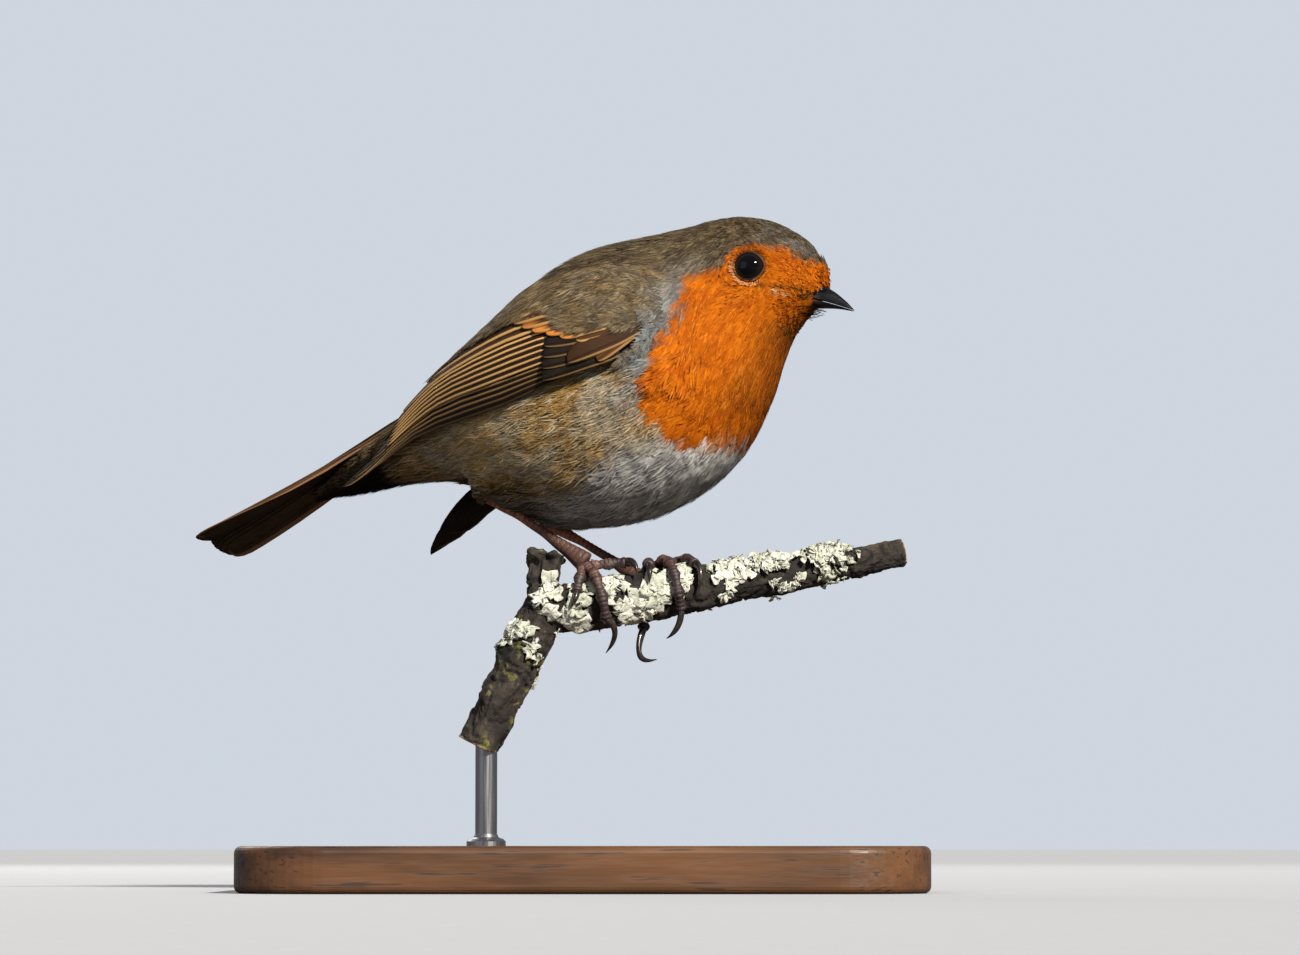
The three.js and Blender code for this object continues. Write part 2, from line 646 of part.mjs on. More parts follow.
let grip = null; // room for the toes and claws in the bark and its lichen
const bodyInStand = bodyWithGap.transform(birdToStand.toArray());
for (const [side, foot] of Object.entries(FEET)) {
  const tarsus = tarsusSolid(foot);
  const tarsusRoom = tarsusSolid(foot, GAP);
  const flank = body.intersect(thighSolid(THIGHS[side], THIGH_SLEEVE));
  const thigh = flank.add(thighSolid(THIGHS[side])).add(cuffSolid(THIGHS[side]));
  place(bird, `thigh_${side}`, mainBody(thigh.subtract(inBird(tarsusRoom))), "belly");
  const toeNames = Object.keys(foot.toes);
  const toeRooms = toeNames.map((name) => toeSolid(foot.toes[name], GAP));
  place(robin, `tarsus_${side}`, mainBody(tarsus.subtract(bodyInStand)), "scutes");
  toeNames.forEach((name, n) => {
    const toe = foot.toes[name];
    const clawRoom = clawSolid(toe, GAP);
    let made = toeSolid(toe).subtract(tarsusRoom);
    toeRooms.slice(0, n).forEach((room) => (made = made.subtract(room)));
    place(robin, `toe_${side}_${name}`, mainBody(made), "scutes");
    place(robin, `claw_${side}_${name}`, mainBody(clawSolid(toe).subtract(toeRooms[n])), "claw");
    const room = toeRooms[n].add(clawRoom).add(tarsusRoom);
    grip = grip ? grip.add(room) : room;
  });
}

const perch = perchSolid().subtract(grip).subtract(rodSolid(GAP));
place(robin, "perch_branch", mainBody(perch), "bark");
const crust = perchSolid(LICHEN_DEPTH).subtract(perchSolid(GAP)).subtract(grip);
LICHEN.forEach(({ at, reach }, n) => {
  const patch = mainBody(crust.intersect(lobedBall(reach, n).translate(at)));
  place(robin, `lichen_${n + 1}`, patch, "lichen");
});
place(robin, "stand_base", baseSolid().subtract(rodSolid(GAP)), "base");
place(robin, "stand_rod", rodSolid(), "rod");

export default robin;
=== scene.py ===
# %% [markdown]
# # A life-size robin on a lichened twig
#
# A museum robin is a body form, a skin drawn over it, and thousands of feathers laid over the skin in
# overlapping rows, all pointing from the bill to the tail. This lesson dresses a fixed solid model in the
# same order: the skin, the coat, the long feathers of wing and tail, then the eyes, bill, feet, the twig
# with its lichen, and the stand. The solid model gives every size and place, so each piece is built
# straight where it belongs.

import math

import bmesh
import bpy
import numpy as np
from mathutils import Matrix, Vector, noise
from mathutils.bvhtree import BVHTree


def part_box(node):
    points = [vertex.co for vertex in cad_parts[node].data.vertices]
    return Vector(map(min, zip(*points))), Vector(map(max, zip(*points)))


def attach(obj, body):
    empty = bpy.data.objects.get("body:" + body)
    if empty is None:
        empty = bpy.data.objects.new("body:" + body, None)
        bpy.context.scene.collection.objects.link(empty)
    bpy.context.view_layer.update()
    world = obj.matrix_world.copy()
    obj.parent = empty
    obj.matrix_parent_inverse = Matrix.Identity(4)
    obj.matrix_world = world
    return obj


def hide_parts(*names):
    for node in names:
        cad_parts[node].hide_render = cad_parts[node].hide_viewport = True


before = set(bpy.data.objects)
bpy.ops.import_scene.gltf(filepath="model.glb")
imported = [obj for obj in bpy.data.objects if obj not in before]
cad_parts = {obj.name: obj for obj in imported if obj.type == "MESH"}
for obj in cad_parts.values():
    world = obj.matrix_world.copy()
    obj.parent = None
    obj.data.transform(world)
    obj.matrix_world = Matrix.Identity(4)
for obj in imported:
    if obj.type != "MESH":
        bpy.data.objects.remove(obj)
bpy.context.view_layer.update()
MM = 0.001
print("solid model:", len(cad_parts), "nodes")

# %% [markdown]
# ## Camera, light and floor
# A long lens far away keeps a small bird in true proportion. It stands just above the floor and looks up a
# little. A low winter sun lights the bird from the front right, and two weak lamps and a pale room fill in.


# %% Putting objects in the scene
def in_scene(name, data):
    made = bpy.data.objects.new(name, data)
    bpy.context.scene.collection.objects.link(made)
    return made


# %% Camera
LOOK_AT = Vector((11.4, 0.0, 72.4)) * MM
CAMERA_DISTANCE = 823 * MM
CAMERA_RISE = math.radians(-4.5)
LENS = 130

camera_data = bpy.data.cameras.new("camera")
camera_data.lens = LENS
camera_data.sensor_width = 36
camera_data.clip_start = 0.05
camera_data.clip_end = 30
camera = in_scene("camera", camera_data)
camera.location = LOOK_AT + Vector((0, -math.cos(CAMERA_RISE), math.sin(CAMERA_RISE))) * CAMERA_DISTANCE
camera.rotation_euler = (math.pi / 2 - CAMERA_RISE, 0, 0)
bpy.context.scene.camera = camera
bpy.context.scene.view_settings.view_transform = "Standard"
print("camera at", tuple(round(c, 3) for c in camera.location))


# %% Lamps
def lamp(name, direction, distance, size, watts, colour):
    """A square soft lamp that looks at the bird from a direction."""
    data = bpy.data.lights.new(name, "AREA")
    data.size = size
    data.energy = watts
    data.color = colour
    made = in_scene(name, data)
    toward = Vector(direction).normalized()
    made.location = LOOK_AT + toward * distance
    made.rotation_euler = toward.to_track_quat("Z", "Y").to_euler()


SUN_WAY = Vector((0.40, -0.71, 0.51))  # from the bird to the sun
SUN_SOFTNESS = math.radians(6)  # a hazy sun, with soft edges to its shadows
sun_data = bpy.data.lights.new("winter_sun", "SUN")
sun_data.energy = 5.4
sun_data.angle = SUN_SOFTNESS
sun_data.color = (1.0, 0.95, 0.87)
sun = in_scene("winter_sun", sun_data)
sun.rotation_euler = SUN_WAY.to_track_quat("Z", "Y").to_euler()
lamp("fill_lamp", (-0.75, -0.6, 0.3), 1.3, 0.9, 1.0, (0.88, 0.94, 1.0))
lamp("back_lamp", (-0.35, 0.8, 0.55), 1.2, 0.7, 3.5, (1.0, 0.98, 0.95))
print("three lamps")

# %% [markdown]
# Node trees are easier to read when each node is one short line, so a few helpers add a node, name its
# values and plug in the sockets that feed it.


# %% Helpers for node trees
def srgb(code):
    """A linear colour from a painter's hex code."""
    parts = [int(code[i : i + 2], 16) / 255 for i in (0, 2, 4)]
    return tuple(((c + 0.055) / 1.055) ** 2.4 if c > 0.04 else c / 12.92 for c in parts) + (1.0,)


def feed(socket, value):
    """Plugs an output into a socket, or writes a value or the colour of a hex code on it."""
    if isinstance(value, bpy.types.NodeSocket):
        socket.id_data.links.new(value, socket)
    else:
        socket.default_value = srgb(value) if isinstance(value, str) else value


def add(tree, kind, settings=None, **values):
    """Adds a node. Values go to sockets by name, with _ for a space, and settings to the node itself."""
    made = tree.nodes.new("ShaderNode" + kind)
    for key, value in (settings or {}).items():
        setattr(made, key, value)
    for key, value in values.items():
        feed(made.inputs[key.replace("_", " ")], value)
    return made


def answer(kind, settings, values, places, output=0):
    """What a new node makes of its values. It stands in the same tree as the first of them."""
    made = add(values[0].id_data, kind, settings)
    for place, value in zip(places, values):
        feed(made.inputs[place], value)
    return made.outputs[output]


def sums(operation, *values):
    """A maths node's answer."""
    return answer("Math", {"operation": operation}, values, (0, 1, 2))


def times(*values):
    return sums("MULTIPLY", *values)


def blend(factor, first, second, way="MIX"):
    """A mix of two colours."""
    settings = {"data_type": "RGBA", "blend_type": way}
    return answer("Mix", settings, (factor, first, second), (0, 6, 7), output=2)


def ease(value, low, high, to_low=0.0, to_high=1.0):
    """A number taken smoothly from one range to another."""
    settings = {"interpolation_type": "SMOOTHSTEP"}
    return answer("MapRange", settings, (value, low, high, to_low, to_high), range(5))


def covered(colour, *covers):
    """A colour under others, each laid on by its mask."""
    for mask, over in covers:
        colour = blend(mask, colour, over)
    return colour


def layered(colour, *layers):
    """A colour under others, each with a mask that eases: (value, low, high, to_low, to_high, paint)."""
    return covered(colour, *((ease(*steps), over) for *steps, over in layers))


def painted(value, low, high, dark, light, *layers):
    """From a dark to a light paint as a value grows, under layers."""
    return layered(blend(ease(value, low, high), dark, light), *layers)


def speckle(place, scale, detail=3.0, rough=0.55):
    """Cloudy noise, 0 to 1."""
    values = {"Vector": place, "Scale": scale, "Detail": detail, "Roughness": rough}
    return add(place.id_data, "TexNoise", **values).outputs[0]


def group(name, inputs, outputs):
    """An empty node group, with its two ends."""
    made = bpy.data.node_groups.new(name, "ShaderNodeTree")
    for label, kind in inputs.items():
        made.interface.new_socket(name=label, in_out="INPUT", socket_type="NodeSocket" + kind)
    for label, kind in outputs.items():
        made.interface.new_socket(name=label, in_out="OUTPUT", socket_type="NodeSocket" + kind)
    return made, made.nodes.new("NodeGroupInput").outputs, made.nodes.new("NodeGroupOutput").inputs


def use(tree, made, **values):
    """Places a group in a tree."""
    placed = tree.nodes.new("ShaderNodeGroup")
    placed.node_tree = made
    for key, value in values.items():
        feed(placed.inputs[key.replace("_", " ")], value)
    return placed.outputs


def finish(name, **values):
    """A material with a Principled shader, given its plain values."""
    made = bpy.data.materials.new(name)
    made.use_nodes = True
    shader = made.node_tree.nodes["Principled BSDF"]
    for key, value in values.items():
        shader.inputs[key.replace("_", " ")].default_value = value
    return made, made.node_tree, shader


def object_place(tree):
    return add(tree, "TexCoord").outputs["Object"]


def attribute(tree, name):
    """What the mesh carries on its points under a name."""
    return add(tree, "Attribute", {"attribute_name": name}).outputs


def paint(shader, colour, roughness=None):
    feed(shader.inputs["Base Color"], colour)
    if roughness is not None:
        feed(shader.inputs["Roughness"], roughness)


def relief(shader, height, distance, strength=1.0):
    """Bump from a height."""
    made = add(shader.id_data, "Bump", Height=height, Distance=distance, Strength=strength)
    feed(shader.inputs["Normal"], made.outputs[0])


# %% Room
world = bpy.data.worlds.new("room")
world.use_nodes = True
air = world.node_tree
room_light = air.nodes["Background"]
room_light.inputs["Color"].default_value = (0.80, 0.84, 0.90, 1)
room_light.inputs["Strength"].default_value = 0.26
backdrop = add(air, "Background", Color=(0.62, 0.67, 0.74, 1), Strength=1.0)
seen = add(air, "MixShader")
sources = (add(air, "LightPath").outputs["Is Camera Ray"], room_light.outputs[0], backdrop.outputs[0])
for socket, value in zip(seen.inputs, sources):
    feed(socket, value)
feed(air.nodes["World Output"].inputs["Surface"], seen.outputs[0])
bpy.context.scene.world = world

FLOOR_HALF = 12.0
floor_mesh = bmesh.new()
bmesh.ops.create_grid(floor_mesh, x_segments=4, y_segments=4, size=FLOOR_HALF)
floor_data = bpy.data.meshes.new("floor")
floor_mesh.to_mesh(floor_data)
floor_mesh.free()
floor = in_scene("floor", floor_data)
floor_paper, tree, shader = finish("floor_paper", Roughness=0.9)
floor_tone = speckle(object_place(tree), 300.0)
paper = blend(floor_tone, "C2C4C8", "CBCDD0")
# the paper looks pale, but throws little light back up at the belly
paint(shader, blend(add(tree, "LightPath").outputs["Is Camera Ray"], "4A4B4E", paper))
floor_data.materials.append(floor_paper)
print("room and floor made")

# %% [markdown]
# ## The bird's own frame
# The bird looks a little to the viewer's side of +X. Its coat is easier to plan in a frame that turns with
# it: x to the bill, y to its left, z up, in millimetres from the middle of the trunk.

# %% Between the bird's frame and the world
BODY_CENTRE = np.array([2.6, 0.0, 86.0])
BODY_YAW = math.radians(-25)
TURN = np.array(Matrix.Rotation(BODY_YAW, 3, "Z"))


def to_world(points):
    return (np.asarray(points, float) @ TURN.T + BODY_CENTRE) * MM


def to_bird(points):
    return (np.asarray(points, float) / MM - BODY_CENTRE) @ TURN


def smooth(value, low, high):
    """0 below low, 1 above high, and an even ease between."""
    u = np.clip((np.asarray(value, float) - low) / (high - low), 0, 1)
    return u * u * (3 - 2 * u)


def bell(value, width):
    """1 at nought, falling to both sides."""
    return np.exp(-((value / width) ** 2))


def unit(vectors):
    return vectors / np.maximum(np.linalg.norm(vectors, axis=-1, keepdims=True), 1e-12)


def square_to(way, normal):
    """A direction turned to lie at right angles to another."""
    return unit(way - (way * normal).sum(-1, keepdims=True) * normal)


def path_length(points):
    return np.linalg.norm(np.diff(points, axis=0), axis=1).sum()


def value_along(values, t):
    """A number, or a point, that runs smoothly through a list as t goes from 0 to 1."""
    values = np.asarray(values, float)
    at = np.clip(np.asarray(t, float), 0, 1) * (len(values) - 1)
    i = np.minimum(at.astype(int), len(values) - 2)
    u = at - i
    if values.ndim > 1:
        u = u[..., None]
    before = values[np.maximum(i - 1, 0)]
    after = values[np.minimum(i + 2, len(values) - 1)]
    first, second = values[i], values[i + 1]
    slope_a, slope_b = (second - before) / 2, (after - first) / 2
    return ((2 * u**3 - 3 * u**2 + 1) * first + (u**3 - 2 * u**2 + u) * slope_a
            + (3 * u**2 - 2 * u**3) * second + (u**3 - u**2) * slope_b)


# %% Mesh objects
def read_points(mesh):
    found = np.empty(len(mesh.vertices) * 3)
    mesh.vertices.foreach_get("co", found)
    return found.reshape(-1, 3)


def touch_tree(points, mesh):
    """A mesh with its points in some frame, to be felt for with rays."""
    return BVHTree.FromPolygons([Vector(p) for p in points], [face.vertices[:] for face in mesh.polygons])


def mark(mesh, label, values):
    """Writes a number, or a colour of four numbers, on each point."""
    values = np.asarray(values, float)
    kind, field = ("FLOAT", "value") if values.ndim == 1 else ("FLOAT_COLOR", "color")
    mesh.attributes.new(label, kind, "POINT").data.foreach_set(field, values.ravel())


def settle(mesh, name, material, smooth_faces=True):
    """Makes a piece of a mesh: it rides on the model and takes a finish."""
    made = in_scene(name, mesh)
    mesh.materials.clear()
    mesh.materials.append(material)
    mesh.polygons.foreach_set("use_smooth", [smooth_faces] * len(mesh.polygons))
    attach(made, "root")
    return made


def from_bmesh(built, name, material, smooth_faces=True):
    mesh = bpy.data.meshes.new(name)
    built.to_mesh(mesh)
    built.free()
    return settle(mesh, name, material, smooth_faces)


def thicken(piece, thickness, offset=-1):
    wall = piece.modifiers.new("thickness", "SOLIDIFY")
    wall.thickness = thickness * MM
    wall.offset = offset


def from_arrays(name, points, quads, tris, material, slot, marks=None, fibre=None, vane=None, patch=None):
    """One joined mesh of many small vanes, with its colour marks and its two UV maps."""
    mesh = bpy.data.meshes.new(name)
    corners = np.concatenate([quads.ravel(), tris.ravel()]).astype(np.int32)
    starts = np.concatenate([np.arange(len(quads)) * 4, len(quads) * 4 + np.arange(len(tris)) * 3])
    mesh.vertices.add(len(points))
    mesh.vertices.foreach_set("co", to_world(points).ravel())
    mesh.loops.add(len(corners))
    mesh.loops.foreach_set("vertex_index", corners)
    mesh.polygons.add(len(starts))
    mesh.polygons.foreach_set("loop_start", starts.astype(np.int32))
    mesh.update(calc_edges=True)
    for label, colours in (("marks", marks), ("fibre", fibre)):
        if colours is not None:
            mark(mesh, label, colours)
    for label, places in (("OFBake", patch), ("vane", vane)):
        if places is not None:
            mesh.uv_layers.new(name=label).uv.foreach_set("vector", places[corners].ravel())
    return settle(mesh, name, material)


WELD = 0.002  # mm; corners closer than this are one corner


def one_surface(names, grow, voxel):
    """The named solids grown a little so that they meet, and melted to one closed mesh."""
    joined = bmesh.new()
    for name in names:
        joined.from_mesh(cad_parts[name].data)
    bmesh.ops.remove_doubles(joined, verts=joined.verts, dist=WELD * MM)
    joined.normal_update()
    for vert in joined.verts:
        vert.co += vert.normal * grow * MM
    mesh = bpy.data.meshes.new("melt")
    joined.to_mesh(mesh)
    joined.free()
    holder = in_scene("melt", mesh)
    melt = holder.modifiers.new("melt", "REMESH")
    melt.mode = "VOXEL"
    melt.voxel_size = voxel * MM
    melted = bpy.data.meshes.new_from_object(holder.evaluated_get(bpy.context.evaluated_depsgraph_get()))
    bpy.data.objects.remove(holder)
    return melted


def iron_mesh(shape, rounds):
    for _ in range(rounds):
        bmesh.ops.smooth_vert(shape, verts=shape.verts, factor=0.5,
                              use_axis_x=True, use_axis_y=True, use_axis_z=True)


# %% [markdown]
# ## The skin
# Head, neck, trunk and thighs are one skin without a seam. The solids go out to the feather tips, so the
# skin is their joined surface let in by the depth of the coat: under a millimetre on the face, two on the
# breast.

# %% Coat depth
EYE = np.array([31.9, 6.5, 20.9])  # the left one; the right has y turned
EYE_RADIUS = 3.1
HEELS = np.array([[-16.4, -8.7, -17.4], [-11.4, 5.0, -21.1]])
FLESH = ("head", "neck", "trunk", "thigh_right", "thigh_left")


def eye_at(side):
    return EYE * [1, side, 1]


def eye_gap(p):
    """How far points are from the middle of the nearer eye, in mm."""
    return np.min([np.linalg.norm(p - eye_at(side), axis=-1) for side in (1, -1)], axis=0)


def coat_depth(p):
    """How far the feather tips stand off the skin, in mm."""
    from_face = np.linalg.norm((p - [37, 0, 19]) * [1, 0.9, 1], axis=-1)
    depth = 0.7 + 1.3 * smooth(from_face, 7, 34)
    depth *= 1 - 0.35 * smooth(p[..., 2], 8, 22) * smooth(-p[..., 0], -22, -10)
    near_heel = np.min([np.linalg.norm(p - heel, axis=-1) for heel in HEELS], axis=0)
    depth *= 0.3 + 0.7 * smooth(near_heel, 2, 10)
    return depth * (0.4 + 0.6 * smooth(p[..., 0], -54, -38))


# %% Skin mesh
SKIN_GROWTH = 0.25
SKIN_VOXEL = 0.55
SKIN_IRONING = 3
SOCKET = EYE_RADIUS + 0.25  # the skin is pushed out of this ball round each eye's middle


def skin_of(names):
    """The surface of the named solids, moved in by the depth of the coat and ironed."""
    mesh = one_surface(names, SKIN_GROWTH, SKIN_VOXEL)
    shape = bmesh.new()
    shape.from_mesh(mesh)
    iron_mesh(shape, SKIN_IRONING)
    shape.normal_update()
    depths = (coat_depth(to_bird([v.co for v in shape.verts])) + SKIN_GROWTH) * MM
    for vert, depth in zip(shape.verts, depths):
        vert.co -= vert.normal * depth
    iron_mesh(shape, SKIN_IRONING)
    shape.to_mesh(mesh)
    shape.free()
    return mesh


skin_mesh = skin_of(FLESH)
skin_points = to_bird(read_points(skin_mesh))
for side in (1, -1):
    off = skin_points - eye_at(side)
    reach = np.linalg.norm(off, axis=1, keepdims=True)
    close = reach[:, 0] < SOCKET
    skin_points[close] = (eye_at(side) + off / reach * SOCKET)[close]
skin_mesh.vertices.foreach_set("co", to_world(skin_points).ravel())
print("skin:", len(skin_mesh.polygons), "faces")

# %% [markdown]
# ## A map of the skin
# Feathers lie in rows round the body and point from bill to tail, so the skin is measured along and round:
# slices from undertail to face, each with rays from its middle out to the skin. Anything laid on this map
# follows the body, and the map unrolled flat is where the coat's own bake patches sit.


# %% Surface maps
class SurfaceMap:
    """A surface as a grid of points, rows one way and columns the other, that can be read between them."""

    def __init__(self, points, closed=False, outward=1):
        self.points, self.closed = points, closed
        rows, columns = points.shape[:2]
        self.down = np.gradient(points, 1 / (rows - 1), axis=0)
        if closed:
            self.round = (np.roll(points, -1, 1) - np.roll(points, 1, 1)) * columns / 2
        else:
            self.round = np.gradient(points, 1 / (columns - 1), axis=1)
        self.normal = unit(np.cross(self.round, self.down)) * outward

    def read(self, grid, t, s):
        rows, columns = grid.shape[:2]
        y = t * (rows - 1)
        i = np.clip(np.floor(y), 0, rows - 2).astype(int)
        v = (y - i)[..., None]
        if self.closed:
            x = (s % 1) * columns
            j = np.floor(x).astype(int) % columns
            k = (j + 1) % columns
            u = (x - np.floor(x))[..., None]
        else:
            x = s * (columns - 1)
            j = np.clip(np.floor(x), 0, columns - 2).astype(int)
            k = j + 1
            u = (x - j)[..., None]
        return ((grid[i, j] * (1 - u) + grid[i, k] * u) * (1 - v)
                + (grid[i + 1, j] * (1 - u) + grid[i + 1, k] * u) * v)

    def at(self, t, s, height=0.0):
        """The points at t, s, raised off the surface."""
        out = unit(self.read(self.normal, t, s))
        return self.read(self.points, t, s) + out * np.asarray(height)[..., None]

    def lie(self, t, s, back):
        """At t, s: the way out, the way along the rows (or back along them), and the way across."""
        normal = unit(self.read(self.normal, t, s))
        flow = square_to(back * unit(self.read(self.down, t, s)), normal)
        return normal, flow, np.cross(normal, flow)

    def outward_at(self, p):
        """The outward direction at the map's point nearest to p."""
        nearest = np.linalg.norm(self.points - p, axis=-1).argmin()
        return self.normal.reshape(-1, 3)[nearest]

    def walk(self, t, s, offset):
        """How far in t and s an offset in mm goes."""
        down, across = self.read(self.down, t, s), self.read(self.round, t, s)
        g11, g12, g22 = (down * down).sum(-1), (down * across).sum(-1), (across * across).sum(-1)
        b1, b2 = (offset * down).sum(-1), (offset * across).sum(-1)
        det = np.maximum(g11 * g22 - g12 * g12, 1e-6)
        return (b1 * g22 - b2 * g12) / det, (b2 * g11 - b1 * g12) / det


# The midplane of the body from undertail to face: its top and bottom, [x, z].
BODY_TOP = [[-54, -12.6], [-31.7, 2.4], [-15.8, 16.6], [-1, 25.3], [10, 27.9], [18.5, 29.9], [27, 31.1],
            [37, 28], [43, 21.9]]
BODY_BOTTOM = [[-53, -15.4], [-30.6, -13.2], [-12.1, -20.6], [8, -21.6], [25.8, -11.3], [34, 4.2],
               [37.9, 11.6], [40.4, 13.9], [42.6, 16]]
BODY_MIDDLE = (np.array(BODY_TOP) + np.array(BODY_BOTTOM)) / 2
MAP_ROWS = 220
MAP_COLUMNS = 180
MAP_ENDS = (0.012, 0.962)  # the map stops a little short of the body's two ends
OUTSIDE = 45  # mm from the middle, where the rays that feel for the skin start
SOCKET_EDGE = EYE_RADIUS + 0.9  # mm from an eye's middle to where the map is drawn tight over it
SOCKET_ROUNDS = 400

whole = skin_of(FLESH + ("bill_upper", "bill_lower"))
WHOLE = touch_tree(to_bird(read_points(whole)), whole)


def ironed(found, rounds, closed=True):
    """A grid of points, each drawn towards its neighbours along and round."""
    for _ in range(rounds):
        found[1:-1] = (found[:-2] + 2 * found[1:-1] + found[2:]) / 4
        if closed:
            found = (np.roll(found, 1, 1) + 2 * found + np.roll(found, -1, 1)) / 4
        else:
            found[:, 1:-1] = (found[:, :-2] + 2 * found[:, 1:-1] + found[:, 2:]) / 4
    return found


def body_map():
    found = np.zeros((MAP_ROWS, MAP_COLUMNS, 3))
    for i, t in enumerate(np.linspace(*MAP_ENDS, MAP_ROWS)):
        top, bottom = value_along(BODY_TOP, t), value_along(BODY_BOTTOM, t)
        middle = Vector(((top + bottom)[0] / 2, 0, (top + bottom)[1] / 2))
        up = (top - bottom) / np.linalg.norm(top - bottom)
        for j in range(MAP_COLUMNS):
            angle = 2 * math.pi * j / MAP_COLUMNS
            ray = Vector((up[0] * math.sin(angle), math.cos(angle), up[1] * math.sin(angle)))
            hit = WHOLE.ray_cast(middle + ray * OUTSIDE, -ray, OUTSIDE)[0]
            found[i, j] = hit if hit is not None else middle + ray * 2
    # over each eye socket the map is drawn tight from its rim, as if the eye weren't there
    socket = (eye_gap(found) < SOCKET_EDGE)[1:-1]
    for _ in range(SOCKET_ROUNDS):
        found[1:-1][socket] = ((found[:-2] + found[2:] + np.roll(found, 1, 1)[1:-1]
                                + np.roll(found, -1, 1)[1:-1]) / 4)[socket]
    return SurfaceMap(ironed(found, 3), closed=True)


BODY = body_map()
print("skin map:", BODY.points.shape)

# %% Map of the face
# The front of the face is mapped again in rings round the bill, where the long map's rows run out.
BILL_ROOT = np.array([38.0, 0.0, 16.7])
BILL_WAY = unit(np.array([49.0, 0.0, 13.9]) - BILL_ROOT)
FACE_REACH = (2.25, 6.5)  # mm from the bill's middle line
FACE_ROWS, FACE_COLUMNS = 22, 72
AHEAD = 20  # mm ahead of the bill's root, where its rays start


def face_map():
    up = np.cross(BILL_WAY, [0, 1, 0])
    found = np.zeros((FACE_ROWS, FACE_COLUMNS, 3))
    for i, reach in enumerate(np.linspace(*FACE_REACH, FACE_ROWS)):
        for j in range(FACE_COLUMNS):
            angle = 2 * math.pi * j / FACE_COLUMNS
            out = np.array([0, 1, 0]) * math.cos(angle) + up * math.sin(angle) * np.sign(up[2])
            start = BILL_ROOT + BILL_WAY * AHEAD + out * reach
            hit = WHOLE.ray_cast(Vector(start), Vector(-BILL_WAY), 2 * AHEAD)[0]
            found[i, j] = hit if hit is not None else start - BILL_WAY * AHEAD
    return SurfaceMap(ironed(found, 2), closed=True, outward=-1)


FACE = face_map()
print("face map:", FACE.points.shape)

# %% [markdown]
# ## Markings
# A robin's orange bib runs from the forehead round the eye and down the breast. A blue-grey band edges it,
# the belly is white, the flanks are golden olive and the back is olive-brown. Each zone is a mask from the
# place on the body, worked out once and used for both the skin and the feathers, so that they always agree.

# %% Zones of colour
# The edge of the bib seen from the side, from the forehead over the eye, down the neck and under the
# breast.
BIB_EDGE = np.array([
    [48, 24], [43.2, 21.9], [41.5, 22.1], [39.4, 22.6], [38.0, 24.0], [34.7, 24.7], [31.8, 24.9],
    [29.2, 24.4], [28.2, 21.4], [26.6, 19.3], [22.6, 19.2], [20.2, 18.0], [20.8, 15.0], [20.6, 10.2],
    [18.6, 6.0], [16.0, 0.0], [15.8, -4.6], [18.4, -8.4], [21.2, -10.6], [25.2, -10.4], [29.0, -7.8],
    [36.0, -6.0], [60.0, 8.0],
])


def gap_to(flat, start, along):
    """How far points are from the nearest of some straight lines, in mm."""
    off = flat[:, None] - start[None]
    u = np.clip((off * along).sum(-1) / (along * along).sum(-1), 0, 1)
    return np.linalg.norm(off - u[..., None] * along, axis=-1).min(axis=1)


def from_line(p, line):
    """How far each point is from a side-view line, in mm."""
    return gap_to(p[:, [0, 2]], np.array(line[:-1]), np.diff(line, axis=0))


def edge_distance(p, outline):
    """How far inside a side-view outline each point is, in mm, negative outside."""
    flat = p[:, [0, 2]]
    start, end = outline, np.roll(outline, -1, axis=0)
    along = end - start
    near = gap_to(flat, start, along)
    crosses = (start[:, 1] > flat[:, None, 1]) != (end[:, 1] > flat[:, None, 1])
    slope = along[:, 0] * (flat[:, None, 1] - start[:, 1]) / np.where(along[:, 1] == 0, 1e-9, along[:, 1])
    inside = (crosses & (flat[:, None, 0] < slope + start[:, 0])).sum(axis=1) % 2 == 1
    return np.where(inside, near, -near)


def waver(p, size, seed):
    """Smooth noise, about -1 to 1, at points in mm."""
    return np.array([noise.noise(Vector(q) / size + Vector((seed, 0, 0))) for q in p]) * 1.6


def zones(p):
    """Bib, belly, flank and grey band, each 0 to 1, at points in the bird's frame."""
    x, y, z = p.T
    wobble = waver(p, 2.6, 5)
    inside = edge_distance(p, BIB_EDGE) + 0.45 * wobble + 0.45 * waver(p, 0.7, 17) * smooth(z, 15, 21)
    bib = smooth(inside, -0.7, 0.6)
    belly_line = -11.5 - 8.0 * smooth(-x, -15, 4) + 1.6 * wobble + 5.0 * smooth(9 - np.abs(y), 0, 9)
    belly = smooth(belly_line - z, -3.4, 2.2)
    belly = np.maximum(belly, smooth(x, 17, 20) * smooth(2.0 - z, 0, 8))
    rear = smooth(-x, 16, 26)
    # at the tail end the white is taken out and the back's olive reaches lower: painted shade there
    belly = belly * (1 - 0.45 * rear * smooth(np.abs(y), 1, 9)) * (1 - 0.85 * smooth(-x, 32, 44))
    back = smooth(z - np.interp(x, [-45, -30, -20, -10, 0, 20], [-13, -7, 0, 6, 7, 4]), -1, 5)
    flank = (1 - belly) * (1 - back)
    band = smooth(inside, -5.4, -2.2) * smooth(z, -9, -1) * (1 - 0.72 * smooth(z, 13, 19))
    band = band * (1 - smooth(x, 22, 26) * smooth(z, 12, 16)) * (0.5 + 0.5 * smooth(wobble, -0.8, 0.6))
    band = np.maximum(band, 0.28 * smooth(x, 30, 36) * smooth(z, 23, 25) * smooth(wobble, -0.8, 0.4))
    return np.stack([bib, belly * (1 - bib), flank * (1 - bib), band * (1 - bib)], axis=1)
